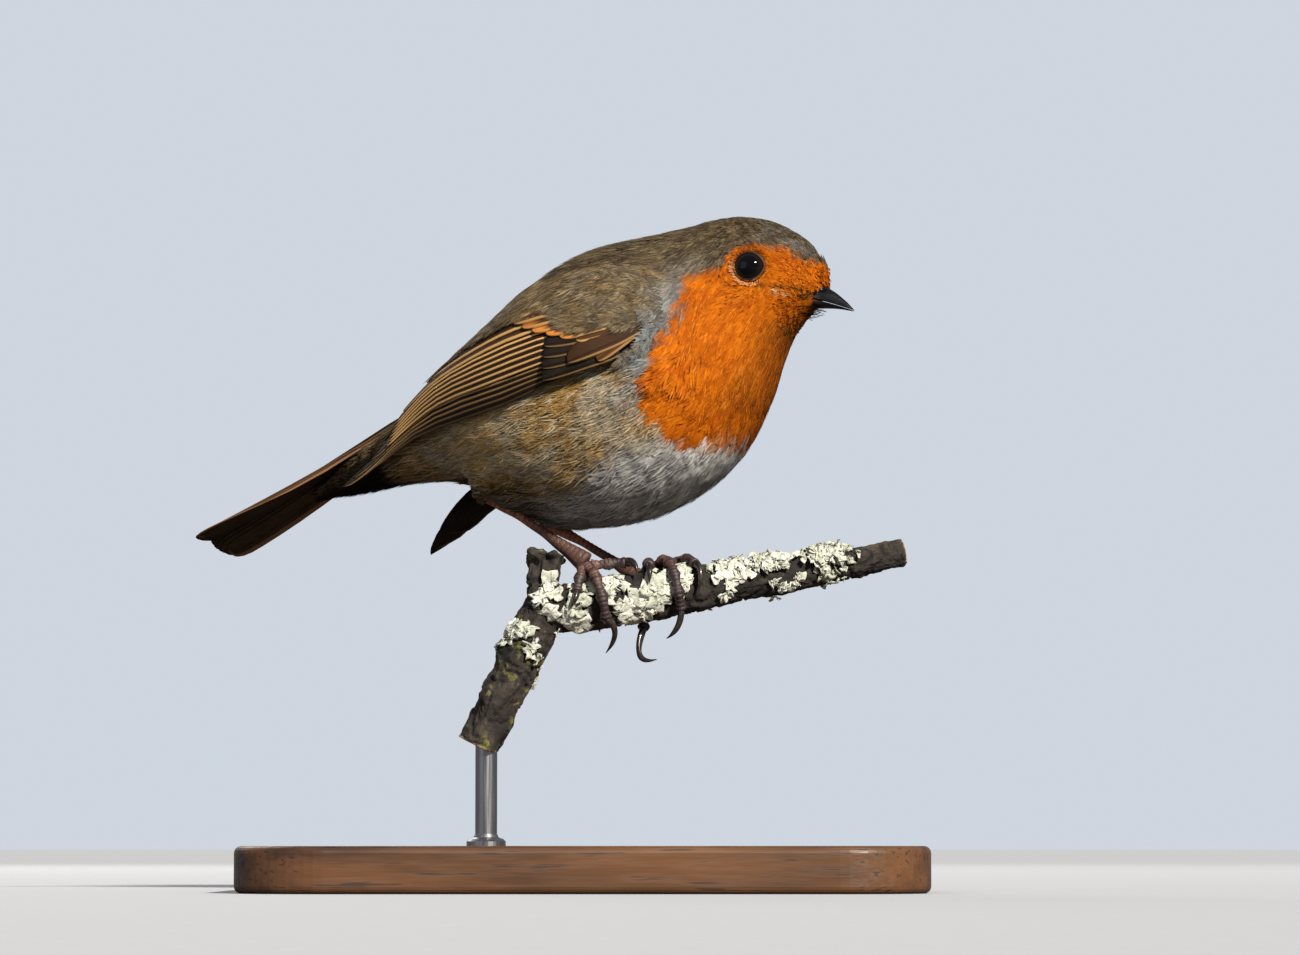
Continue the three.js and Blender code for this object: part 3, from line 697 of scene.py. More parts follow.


# Side-view lines [x, z] of the small marks of the face, and of a painted highlight on the white
# below the bib.
LORE_LINE = [[32.9, 17.8], [36.8, 17.45], [41.0, 16.9]]
LORE_START = [[32.6, 17.5], [34.4, 17.9]]
GAPE_LINE = [[35.6, 16.9], [38.3, 16.3]]
GAPE_CORNER = [[40.3, 15.9], [42.6, 15.6]]
FRONT_HIGHLIGHT_LINE = [[20.0, -13.2], [25.5, -11.0], [31.0, -8.2]]


def shade(p):
    """Where the plumage is darker than its zone, down to -1, or paler, up to 1: marks and painted light."""
    x, y, z = p.T
    beside = smooth(np.abs(y), 1.5, 2.5)
    lore = 0.85 * beside * bell(from_line(p, LORE_LINE), 0.42)
    blotch = 0.6 * bell(from_line(p, LORE_START), 0.75) * smooth(waver(p, 0.6, 3), -0.5, 0.3)
    corner = 0.85 * bell(from_line(p, GAPE_CORNER), 0.8)
    gape = 0.95 * beside * bell(from_line(p, GAPE_LINE), 0.36)
    # painted highlight on the white of the breast front just below the bib
    tuft = 0.85 * bell(from_line(p, FRONT_HIGHLIGHT_LINE), 1.9) * smooth(-y, 0, 5)
    tuft = tuft * smooth(waver(p, 0.9, 8), -0.7, 0.3)
    # darker olive feathers on the throat and breast front, with painted shade where the head shades them
    throat = 0.8 * smooth(x, 30, 38.5) * smooth(14.5 - z, 0, 5) * smooth(z, -8, 6)
    behind_front = x - np.interp(z, [-11, 4, 12], [25.8, 34, 38])
    front = 0.45 * smooth(behind_front, -7, -1) * smooth(14.5 - z, 0, 5) * smooth(z, -9, -2)
    # painted shadow: the undertail, the vent and the side of the rump under the wing tip made dark
    below = smooth(np.interp(x, *BODY_MIDDLE.T) - z, -5, -1)
    beside_tail = smooth(-x, 31, 38) * smooth(np.interp(x, *np.array(BODY_TOP).T) - z, 1.0, 3.0)
    undertail = 0.96 * np.max([smooth(-x, 17, 31) * below, beside_tail, smooth(-x, 43, 49)], axis=0)
    # painted shade on the lower flank above the thigh, where the body curves under
    thigh = 0.7 * smooth(-x, 3, 10) * smooth(28 + x, 0, 6) * smooth(-13.5 - z, -1, 2.5)
    crown = 0.8 * smooth(x, 12, 28) * smooth(z, 22.8, 27.5) * smooth(waver(p, 0.7, 12), -0.3, 0.5)
    flank = (0.34 + 0.25 * smooth(-x, 2, 14)) * smooth(-x, -6, 4) * smooth(42 + x, 0, 10)
    flank = flank * smooth(z, -16, -12) * smooth(4 - z, 0, 6)
    dark = np.max([lore, blotch, corner, throat, front, undertail, thigh, crown], axis=0)
    pale = np.max([gape, tuft, flank], axis=0)
    return np.clip(pale - dark * (1 - pale), -1, 1)


# %% [markdown]
# The colour itself is one node group, used by skin and coat. The marks say which zone, and three numbers
# that belong to each small feather say how light it is, which barb a point is on, and how far out it lies.
# A fourth makes it darker or paler: the marks of the face, and painted shade and painted highlights.
# A feather is grey down at its root and coloured only towards its tip, which is why the flanks look
# streaky.


# %% Plumage colour
def plumage_group():
    tree, given, result = group(
        "plumage_colour",
        {"Marks": "Color", "Band": "Float", "Fibre": "Color", "Shade": "Float", "Place": "Vector"},
        {"Color": "Color", "Height": "Float"},
    )
    zone = add(tree, "SeparateColor", Color=given["Marks"]).outputs
    fibre = add(tree, "SeparateColor", Color=given["Fibre"]).outputs
    tone, strand, out = fibre[0], fibre[1], fibre[2]
    cloud = speckle(given["Place"], 260.0, 3.0)
    fine = speckle(given["Place"], 1500.0, 2.0)
    mood = sums("ADD", times(tone, 0.4), times(cloud, 0.6))

    washed = speckle(given["Place"], 120.0, 2.0)
    olive = painted(mood, 0.2, 0.8, "3C3228", "6F5E46",
                    (strand, 0.72, 1.0, 0.0, 0.5, "95855F"), (strand, 0.0, 0.3, 0.5, 0.0, "352F25"))
    gold = painted(mood, 0.2, 0.8, "886838", "C0944E",
                   (washed, 0.45, 0.6, 0.0, 0.65, "AFA794"), (strand, 0.66, 0.84, 0.0, 0.65, "DDD0B0"),
                   (strand, 0.1, 0.35, 0.6, 0.0, "4A4844"))
    white = painted(mood, 0.1, 0.9, "A5A4A2", "F8F5EE", (strand, 0.08, 0.42, 0.85, 0.0, "55575D"))
    grey = painted(mood, 0.1, 0.9, "6C7175", "969A9A",
                   (strand, 0.7, 0.95, 0.0, 0.4, "B9BCBA"), (strand, 0.05, 0.25, 0.6, 0.0, "5B5A4A"))
    orange = painted(mood, 0.1, 0.9, "A94A03", "D9740A",
                     (strand, 0.75, 1.0, 0.0, 0.45, "EE9430"), (strand, 0.0, 0.22, 0.5, 0.0, "7E3804"))

    colour = covered(olive, (zone[2], gold), (zone[1], white), (given["Band"], grey), (zone[0], orange))
    down = blend(zone[0], "57534E", "8A4314")
    colour = blend(ease(out, 0.25, 0.7, 0.65, 0.0), colour, down)
    colour = blend(ease(fine, 0.3, 0.7, 0.0, 0.22), colour, "2E2A24", "MULTIPLY")
    # darker: the face's marks, and painted shade on the throat, above the thighs and under the tail
    darker = ease(given["Shade"], -1.0, 0.0, 1.0, 0.0)
    spared = sums("MAXIMUM", ease(strand, 0.4, 0.8, 1.0, 0.5),
                  ease(given["Shade"], -0.92, -0.7, 1.0, 0.0))
    darker = times(darker, spared)
    # near black at the deepest: the rictal bristles, and painted shadow under the tail
    deepest = ease(given["Shade"], -1.0, -0.86, 1.0, 0.0)
    colour = blend(darker, colour, blend(deepest, "33260F", "120E09"))
    # paler: the gape streak and flank streaks, and painted highlights on the shoulders and below the bib
    paler = ease(given["Shade"], 0.1, 1.0, 0.0, 0.85)
    paler = times(paler, ease(strand, 0.35, 0.6, 0.4, 1.0))
    # on the white belly the paling is near white: there it is mostly the painted highlight below the bib
    colour = blend(paler, colour, blend(zone[1], "E2C390", "FFFCF4"))
    feed(result["Color"], colour)
    feed(result["Height"], fine)
    return tree


PLUMAGE = plumage_group()


def plumage_material(name):
    made, tree, shader = finish(name, Roughness=0.8, Specular_IOR_Level=0.08)
    marks, fibre = attribute(tree, "marks"), attribute(tree, "fibre")
    look = use(tree, PLUMAGE, Marks=marks["Color"], Band=marks["Alpha"], Fibre=fibre["Color"],
               Shade=fibre["Alpha"], Place=object_place(tree))
    paint(shader, look["Color"])
    relief(shader, look["Height"], 0.00008, 0.5)
    return made


COAT = plumage_material("soft_plumage")
SKIN = plumage_material("skin_under_feathers")
print("plumage colour:", len(PLUMAGE.nodes), "nodes")

# %% Skin piece
SKIN_FIBRE = [0.4, 0.5, 0.45]  # a middling tone and strand, half way out to a feather's tip
skin_fibre = np.tile([*SKIN_FIBRE, 0.0], (len(skin_points), 1))
# the skin takes the same marks, painted shade and painted highlights as the coat over it
skin_fibre[:, 3] = shade(skin_points)
mark(skin_mesh, "marks", zones(skin_points))
mark(skin_mesh, "fibre", skin_fibre)
skin = settle(skin_mesh, "skin", SKIN)
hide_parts(*FLESH)
print("skin piece:", len(skin_mesh.polygons), "faces")

# %% [markdown]
# ## Contour feathers
# A contour feather is a soft vane whose loose barbs part at the tip. One is drawn flat: a narrow web along
# the shaft, and blades that leave it on both sides and curve to a rounded end. Laid over the skin map with
# its root low and its tip high, and repeated in offset rows, it makes a coat that always lies over itself
# the right way.


# %% One feather, drawn flat
def feather_outline(x):
    """The half width of a contour feather at x along it, 0 to 1."""
    return 1.28 * np.sqrt(np.clip(x, 0, 1)) * np.sqrt(np.clip(1 - x**4, 0, 1))


WEB_ROWS = (0.0, 0.3, 0.6, 0.85)
WEB_POINTS = 3 * len(WEB_ROWS)
MIDRIB = WEB_POINTS - 2  # the point of the web that shows, near the tip


def drawn_feather(rng, barbs, barb_width=0.05):
    """Points (along, across, height, strand), quads and triangles. Along is 0 to 1, across -1 to 1."""
    points, quads, tris = [], [], []
    for r, x in enumerate(WEB_ROWS):
        for c in (-1, 0, 1):
            points.append((x, c * feather_outline(x) * 0.4 * (1 - 0.5 * x), 0.03 * (c == 0) - 0.06, 0.5))
            if r and c < 1:
                a = (r - 1) * 3 + c + 1
                quads.append((a, a + 3, a + 4, a + 1))
    for b in range(barbs):
        side = 1 if b % 2 else -1
        root = 0.05 + 0.62 * (b + rng.random()) / barbs
        tip = min(root + rng.uniform(0.32, 0.48), rng.uniform(0.92, 1.06))
        reach = side * feather_outline(min(tip, 0.97)) * rng.uniform(0.05, 1.0)
        strand, rise = rng.random(), rng.uniform(-0.03, 0.05)
        middle = ((root + tip) / 2, reach * 0.6)
        first = len(points)
        for (x, y), wide in (((root, 0), 0.8), (middle, 1.1)):
            points.append((x - barb_width * 0.3 * side, y + barb_width * wide, rise, strand))
            points.append((x + barb_width * 0.3 * side, y - barb_width * wide, rise + 0.01, strand))
        points.append((tip, reach, rise + 0.02, strand))
        quads.append((first, first + 1, first + 3, first + 2))
        tris.append((first + 2, first + 3, first + 4))
    return np.array(points), np.array(quads), np.array(tris)


# %% Laying feathers
RNG = np.random.default_rng(7)


PATCH_SIZE = 0.0015  # of the bake map, for one feather
PATCH_EDGE = 0.02
LINE_POINTS = 60
ROW_STEP = 0.86  # of the gap between the roots of one row
DRIFT = 0.25  # of that gap, at random


def lay(chart, roots, drawing, length, width, heading, lift, back=-1, sunk=0.0):
    """Bends one drawing over the map at each root. Heading turns it, and lift is its tip's height."""
    t, s = roots.T
    normal, flow, side = chart.lie(t, s, back)
    turned = flow * np.cos(heading)[:, None] + side * np.sin(heading)[:, None]
    side = np.cross(normal, turned)
    x, y, rise = drawing[:, 0], drawing[:, 1], drawing[:, 2]
    offset = (turned[:, None] * (x * length[:, None])[..., None]
              + side[:, None] * (y * width[:, None])[..., None])
    count = len(x)
    dt, ds = chart.walk(np.repeat(t, count), np.repeat(s, count), offset.reshape(-1, 3))
    height = (1 - 0.8 * np.clip(1 - x, 0, 1) ** 1.8 + 0.06 * (x - 1) + rise)[None] * lift[:, None] - sunk
    placed_at = chart.at(np.repeat(t, count) + dt, np.repeat(s, count) + ds, height.ravel())
    return placed_at.reshape(len(t), count, 3)


def coat_piece(name, chart, roots, length, width, heading, lift, barbs, slot="plumage_body", back=-1,
               marks=zones, tone_and_painted_light=shade, variants=8, keep_off=None, box=None, barb_width=0.05, sunk=0.0):
    """A joined mesh of feathers at the given roots of a map."""
    kinds = RNG.integers(variants, size=len(roots))
    low, high = (roots.min(0), roots.max(0)) if box is None else box
    parts = []
    first = 0
    for kind in range(variants):
        drawing, quads, tris = drawn_feather(RNG, barbs, barb_width)
        of = np.where(kinds == kind)[0]
        placed = lay(chart, roots[of], drawing, length[of], width[of], heading[of], lift[of], back, sunk)
        count = len(drawing)
        bases = first + np.arange(len(of))[:, None] * count
        zone, darkness = marks(placed[:, MIDRIB]), tone_and_painted_light(placed[:, MIDRIB])
        tone = RNG.random(len(of))
        strand = (drawing[:, 3][None] + 0.35 * RNG.random((len(of), 1))) % 1
        strand[:, :WEB_POINTS] = 0.5
        out = drawing[:, 0][None]
        fibre = np.stack(np.broadcast_arrays(tone[:, None], strand, out, darkness[:, None]), axis=-1)
        home = PATCH_EDGE + 0.95 * (roots[of] - low) / (high - low)
        flat = np.stack([drawing[:, 1], 2 * drawing[:, 0] - 1], axis=-1)
        patch = home[:, None, ::-1] + PATCH_SIZE * flat[None]
        if keep_off is not None:
            placed = keep_off(placed)
        parts.append((
            placed.reshape(-1, 3),
            (bases[..., None] + quads[None]).reshape(-1, 4),
            (bases[..., None] + tris[None]).reshape(-1, 3),
            np.repeat(zone, count, axis=0),
            fibre.reshape(-1, 4),
            patch.reshape(-1, 2),
        ))
        first += len(of) * count
    points, quads, tris, zone, fibre, patch = [np.concatenate(column) for column in zip(*parts)]
    from_arrays(name, points, quads, tris, COAT, slot, marks=zone, fibre=fibre, patch=patch)
    print(f"{name}: {len(roots)} feathers, {len(quads) * 2 + len(tris)} triangles")


def rows_of_roots(chart, t_range, s_range, spacing_at):
    """Offset rows over part of a map. spacing_at gives the distance between roots in mm."""
    found = []
    t, row = t_range[0], 0
    while t < t_range[1]:
        span = path_length(chart.at(np.full(LINE_POINTS, t), np.linspace(*s_range, LINE_POINTS)))
        gap = spacing_at(t)
        count = max(int(span / gap), 3)
        s = s_range[0] + (np.arange(count) + 0.5 * (row % 2)) / count * (s_range[1] - s_range[0])
        down = np.linalg.norm(chart.read(chart.down, np.full(count, t), s), axis=1)
        across = np.linalg.norm(chart.read(chart.round, np.full(count, t), s), axis=1)
        drift = RNG.uniform(-DRIFT, DRIFT, (count, 2)) * gap
        found.append(np.stack([t + drift[:, 0] / down, s + drift[:, 1] / across], axis=1))
        t += ROW_STEP * gap / np.median(down)
        row += 1
    return np.concatenate(found)


# %% [markdown]
# The coat goes on in regions, since feathers grow from a millimetre on the face to eight on the flanks.
# Round the eye the rows part like water round a stone, and no feather may lie over the eye or the bill.

# %% Lie of the coat
SPREAD = (0.88, 1.12)  # of a feather's length, at random
SLIM = 0.25  # half a feather's width to its length
FEATHER_LENGTHS = [5.5, 8.2, 9.0, 8.6, 7.4, 6.0, 4.6, 3.3, 2.4]  # mm, from undertail to face
EYE_OPENING = 2.72  # the feathers stop at this distance from the eye's axis
PARTING = 9  # mm from that axis within which the rows bend round the eye


def eye_axis(side):
    return unit(np.array([0.22, side, 0.10]))


def off_axis(p, side):
    """From an eye's axis to points: the direction, how far in mm, and how far along the axis they are."""
    axis = eye_axis(side)
    off = p - eye_at(side)
    depth = off @ axis
    off = off - depth[:, None] * axis
    reach = np.linalg.norm(off, axis=1)
    return off / np.maximum(reach, 1e-6)[:, None], reach, depth


def round_the_eye(p, flow):
    """Parts a flow round both eyes."""
    turned = flow.copy()
    for side in (1, -1):
        out, reach, _ = off_axis(p, side)
        here = (np.sign(p[:, 1]) == side) & (reach < PARTING)
        strength = np.where(here, (EYE_OPENING / np.maximum(reach, EYE_OPENING)) ** 2, 0)[:, None]
        turned -= strength * (2 * (turned * out).sum(-1, keepdims=True) * out - turned)
    return unit(turned)


def off_the_eye(placed):
    """Pushes any barb that would cross an eye back to its rim."""
    flat = placed.reshape(-1, 3)
    for side in (1, -1):
        out, reach, depth = off_axis(flat, side)
        inside = (reach < EYE_OPENING) & (np.sign(flat[:, 1]) == side) & (depth > 0)
        flat[inside] += (out * (EYE_OPENING - reach)[:, None])[inside]
    return flat.reshape(placed.shape)


def headings(chart, roots):
    """The turn of each feather from the straight lie: round the eyes, and a little at random."""
    t, s = roots.T
    _, flow, side = chart.lie(t, s, -1)
    turned = round_the_eye(chart.at(t, s), flow)
    angle = np.arctan2((turned * side).sum(-1), (turned * flow).sum(-1))
    return angle + RNG.normal(0, 0.09, len(t))


# The lower edge of the folded right wing, [x, y, z], from its bend to its tip.
WING_LOWER = [[20.4, -17.6, 8.5], [15.8, -21.8, 4.6], [8.2, -24.2, 1.8], [-0.8, -24.2, -1.0],
              [-11.3, -22.2, -3.6], [-22.5, -18.0, -5.2], [-32.7, -13.8, -7.5], [-40.2, -11.0, -11.4],
              [-46.4, -9.0, -15.4]]
WING_RUN = 67  # mm from bend to tip


def covered_by_wing(p):
    """Where a folded wing hides the body."""
    x, y, z = p.T
    lower = value_along(np.array(WING_LOWER)[:, 2], (WING_LOWER[0][0] - x) / WING_RUN)
    return (x < 11) & (x > -40) & (z > lower + 3.5) & (z < lower + 17) & (np.abs(y) > 9)


def over_the_bend(p):
    """How much a feather must rise to lie over the bend of a folded wing, 0 to 1."""
    x, y, z = p.T
    return bell(x - 21.5, 3.8) * smooth(np.abs(y), 8, 12) * smooth(z, 1, 5) * (1 - smooth(z, 17, 22))


def unrolled(t_range):
    """The corners of a closed map's stretch."""
    return np.array([t_range[0], 0]), np.array([t_range[1], 1])


def body_coat(name, t_range, density, barbs, slot, **more):
    """One region of the body's coat."""
    roots = rows_of_roots(BODY, t_range, (0, 1), lambda t: float(value_along(FEATHER_LENGTHS, t)) * density)
    p = BODY.at(*roots.T)
    stay = ~covered_by_wing(p)
    for side in (1, -1):
        stay &= (off_axis(p, side)[1] > EYE_OPENING + 0.1) | (np.sign(p[:, 1]) != side)
    roots, p = roots[stay], p[stay]
    length = value_along(FEATHER_LENGTHS, roots[:, 0]) * RNG.uniform(*SPREAD, len(roots))
    length *= 0.55 + 0.45 * smooth(eye_gap(p), 3.2, 6.5)
    hump = 0.7 * bell(p[:, 0] - 10, 7) * smooth(p[:, 2], 18, 24)  # the raised feathers of the shoulders
    lift = coat_depth(p) * RNG.uniform(0.92, 1.1, len(roots)) + 1.2 * over_the_bend(p) + hump
    coat_piece(name, BODY, roots, length, length * SLIM, headings(BODY, roots), lift, barbs, slot,
               keep_off=off_the_eye, box=unrolled(t_range), **more)


# %% Coat of the body
body_coat("coat_face", (0.80, 0.985), 0.155, 12, "plumage_red", barb_width=0.07)
body_coat("coat_crown_and_throat", (0.66, 0.81), 0.15, 14, "plumage_red", barb_width=0.06)
body_coat("coat_neck", (0.52, 0.67), 0.15, 18, "plumage_red")
body_coat("coat_breast_and_mantle", (0.36, 0.53), 0.142, 22, "plumage_body", barb_width=0.04)
body_coat("coat_belly_and_flanks", (0.20, 0.37), 0.145, 24, "plumage_body", barb_width=0.038)
body_coat("coat_vent_and_rump", (0.0, 0.21), 0.155, 22, "plumage_body", barb_width=0.04)


# %% [markdown]
# Round the bill the rows would run out to nothing, so its feathers are rooted in rings of their own. Stiff
# bristles stand out from the corners of the gape, as on every bird that catches flies.

# %% Feathers round the bill
def face_coat(name, t_range, keep, gap, length, lift, spread, back, barbs, barb_width, tone_and_painted_light=shade, slim=0.3):
    """Small feathers rooted in rings round the bill. back=-1 points them at it."""
    roots = rows_of_roots(FACE, t_range, (0, 1), lambda t: gap)
    p = FACE.at(*roots.T)
    roots = roots[keep(p)]
    count = len(roots)
    lengths = length * RNG.uniform(0.8, 1.2, count)
    coat_piece(name, FACE, roots, lengths, lengths * slim, RNG.normal(0, spread, count),
               lift * RNG.uniform(0.7, 1.3, count), barbs, "plumage_red", back=back, barb_width=barb_width,
               tone_and_painted_light=tone_and_painted_light, box=unrolled(t_range))


face_coat("coat_bill_base", (0.0, 0.8), lambda p: np.full(len(p), True), 0.38, 1.7, 0.75, 0.25, 1, 8, 0.13)
face_coat("coat_forehead_tufts", (0.3, 0.98), lambda p: (p[:, 2] > 17.8) & (p[:, 2] < 21.8), 0.46,
          1.5, 0.85, 0.7, -1, 9, 0.09)
face_coat("rictal_bristles", (0.02, 0.5), lambda p: (p[:, 2] < 15.2) & (np.abs(p[:, 1]) > 0.6), 0.9,
          3.4, 1.9, 0.4, -1, 2, 0.3, tone_and_painted_light=lambda p: np.full(len(p), -1.0), slim=0.04)

# %% [markdown]
# ## Wing surface
# Both wings are laid on one drawn surface: a lower edge, an upper edge and the bulge between them, from the
# bend to the tip. The left wing is the same surface mirrored, let down a little, and its tip let down a
# little more.

# %% Wing surface
# Like the lower edge, points [x, y, z] of the right wing from its bend to its tip.
WING_BULGE = [[20.4, -17.4, 13.5], [14.0, -21.0, 12.5], [6.0, -23.4, 11.2], [-4.0, -23.0, 9.6],
              [-15.0, -19.8, 6.8], [-26.0, -14.8, 3.0], [-35.0, -10.4, -2.8], [-41.2, -8.6, -9.0],
              [-46.6, -8.6, -14.8]]
WING_UPPER = [[18.4, -15.4, 18.5], [12.5, -16.4, 20.6], [4.0, -15.6, 21.0], [-7.5, -12.8, 18.2],
              [-17.0, -8.4, 13.4], [-27.5, -4.6, 6.2], [-37.0, -3.0, 0.2], [-42.0, -5.2, -5.8],
              [-46.9, -8.2, -13.8]]
WING_ROWS, WING_COLUMNS = 72, 25
WING_THICK = [1.6, 2.6, 3.0, 3.0, 2.8, 2.2, 1.5, 1.0, 0.6]
SHOULDER = np.array([16, 17, 14])  # where the left wing turns
PRIMARY_ROOT = np.array([0, 25, -1])  # where its primaries turn
WING_DROOP, WING_SPREAD = math.radians(4), math.radians(3)
TIP_DROOP, TIP_SPREAD = math.radians(12), math.radians(2.5)


def arc(start, control, end, u):
    """A plain curve from start to end, pulled towards a control point."""
    return (1 - u) ** 2 * start + 2 * u * (1 - u) * control + u**2 * end


def wing_points():
    t = np.linspace(0, 1, WING_ROWS)
    lower, bulge, upper = (value_along(edge, t)[:, None] for edge in (WING_LOWER, WING_BULGE, WING_UPPER))
    s = np.linspace(0, 1, WING_COLUMNS)[None, :, None]
    return arc(lower, 2 * bulge - (lower + upper) / 2, upper, s)


def let_down(points, pivot, droop, spread):
    turn = np.array(Matrix.Rotation(-spread, 3, "Z") @ Matrix.Rotation(-droop, 3, "Y"))
    return (points - pivot) @ turn.T + pivot


left_points = let_down(wing_points() * [1, -1, 1], SHOULDER, WING_DROOP, WING_SPREAD)
RIGHT_WING = SurfaceMap(wing_points())
LEFT_WING = SurfaceMap(left_points, outward=-1)
LEFT_TIP = SurfaceMap(let_down(left_points, PRIMARY_ROOT, TIP_DROOP, TIP_SPREAD), outward=-1)
WINGS = {"right": (RIGHT_WING, RIGHT_WING), "left": (LEFT_WING, LEFT_TIP)}
print("wing surface:", round(float(path_length(RIGHT_WING.points[:, WING_COLUMNS // 2]))), "mm long")

# %% [markdown]
# The shoulder feathers don't belong to the wing alone. They run from the back down over its upper edge, and
# the feathers of the breast side lie over its bend. Both are laid on the outer envelope of coat and wing,
# found with rays from outside and ironed until the step between the two is a slope.


# %% Where body and wing meet
MEETING_X = (28, -40)  # from ahead of the bend to the rump, mm
MEETING_ANGLES = (-25, 87)  # from below the bend to the spine, degrees
MEETING_ROWS, MEETING_COLUMNS = 112, 84
IRONING = 16


def sheet_tree(points, closed=False):
    rows, columns = points.shape[:2]
    i, j = np.meshgrid(np.arange(rows - 1), np.arange(columns - (not closed)), indexing="ij")
    k = (j + 1) % columns
    here, below = i * columns, (i + 1) * columns
    quads = np.stack([here + j, here + k, below + k, below + j], axis=-1)
    return BVHTree.FromPolygons([Vector(p) for p in points.reshape(-1, 3)], quads.reshape(-1, 4).tolist())


COAT_TREE = sheet_tree(BODY.points + BODY.normal * 0.9 * coat_depth(BODY.points)[..., None], closed=True)


def meeting_surface(wing, side):
    wing_tree = sheet_tree(wing.points)
    found = np.zeros((MEETING_ROWS, MEETING_COLUMNS, 3))
    for i, x in enumerate(np.linspace(*MEETING_X, MEETING_ROWS)):
        middle = Vector((x, 0, np.interp(x, *BODY_MIDDLE.T)))
        for j, angle in enumerate(np.radians(np.linspace(*MEETING_ANGLES, MEETING_COLUMNS))):
            out = Vector((0, side * math.cos(angle), math.sin(angle)))
            start = middle + out * OUTSIDE
            hits = [tree.ray_cast(start, -out, OUTSIDE) for tree in (COAT_TREE, wing_tree)]
            near = min((hit for hit in hits if hit[0] is not None), key=lambda hit: hit[3])
            found[i, j] = near[0]
    return SurfaceMap(ironed(found, IRONING, closed=False), outward=-side)


MEETING = {"right": meeting_surface(RIGHT_WING, -1), "left": meeting_surface(LEFT_WING, 1)}
print("envelope:", MEETING["right"].points.shape)

# %% [markdown]
# ## Long feathers
# A flight feather is a stiff shaft with a narrow outer web and a broad inner web that hides under the next
# feather. Each is a small curved sheet with more points at its rounded tip, and the sheets are given a
# thickness at the end. Its own flat map carries the pale edge, the shaft and the fine slanting barbs.


# %% One long feather
VANE_ROWS = np.array([0, 0.08, 0.17, 0.27, 0.37, 0.47, 0.57, 0.66, 0.75, 0.83, 0.89, 0.94, 0.975, 0.992, 1])
# across a vane: outer edge 0, shaft 1, inner edge 2
VANE_COLUMNS = np.array([0, 0.35, 0.7, 0.93, 1.0, 1.07, 1.35, 1.7, 2.0])
OUTER_DROOP, INNER_DROOP, SHAFT_RISE = 0.08, 0.22, 0.05  # mm


def long_feather(chart, path, outer, inner, level, toward=-1, edge_path=True, point=0.66, look=(1, 0, 0),
                 taper=0.5):
    """A vane along a path of (t, s), its outer edge or its shaft. Toward is the outer web's side."""
    x, c = VANE_ROWS[:, None], VANE_COLUMNS[None]
    t, s = value_along(path, VANE_ROWS).T
    line = chart.at(t, s)
    normal = unit(chart.read(chart.normal, t, s))
    side = unit(np.cross(normal, np.gradient(line, axis=0)))
    side *= np.sign((side * chart.read(chart.round, t, s)).sum(-1, keepdims=True))
    closing = 1 - np.clip((x - point) / (1.0001 - point), 0, 1) ** 2.2
    full = (0.5 + 0.5 * smooth(x, 0, 0.2)) * closing**taper
    web = np.where(c < 1, outer, inner) * (c - 1) * full
    across = -toward * (outer * edge_path + web)
    t, s = np.broadcast_arrays(t[:, None], across)[0], np.broadcast_arrays(s[:, None], across)[0]
    dt, ds = chart.walk(t, s, side[:, None] * across[..., None])
    height = level(t) - INNER_DROOP * np.maximum(c - 1, 0) - OUTER_DROOP * np.maximum(1 - c, 0)
    height = height + SHAFT_RISE * (np.abs(c - 1) < 0.01)
    return {"points": chart.at(t + dt, s + ds, height), "look": look, "chart": chart}


def feather_stack(name, feathers, material, slot, thickness=0.1):
    """Long feathers joined to one mesh, each with its own strip of the bake map."""
    rows, columns = len(VANE_ROWS), len(VANE_COLUMNS)
    u, v = np.meshgrid(VANE_COLUMNS / 2, VANE_ROWS)
    corner = (np.arange(rows - 1)[:, None] * columns + np.arange(columns - 1)).ravel()
    quad = np.stack([corner, corner + 1, corner + 1 + columns, corner + columns], axis=1)
    points, quads, looks, fibres, vanes, patches = [], [], [], [], [], []
    for k, feather in enumerate(feathers):
        p = feather["points"]
        facing = np.cross(p[5, 5] - p[5, 4], p[6, 4] - p[5, 4])
        outward = feather["chart"].outward_at(p[5, 4])
        quads.append((quad if facing @ outward > 0 else quad[:, ::-1]) + k * rows * columns)
        points.append(p.reshape(-1, 3))
        looks.append(np.tile([*feather["look"], 1.0], (rows * columns, 1)))
        fibres.append(np.tile([RNG.random(), RNG.random(), 0.5, 0.0], (rows * columns, 1)))
        vanes.append(np.stack([u.ravel(), v.ravel()], axis=1))
        strip = (k + 0.06 + 0.88 * u.ravel()) / len(feathers)
        patches.append(np.stack([strip, 0.01 + 0.98 * v.ravel()], axis=1))
    points, quads, *marks = map(np.concatenate, (points, quads, looks, fibres, vanes, patches))
    made = from_arrays(name, points, quads, np.zeros((0, 3), int), material, slot, *marks)
    thicken(made, thickness)
    print(f"{name}: {len(feathers)} long feathers")
    return made


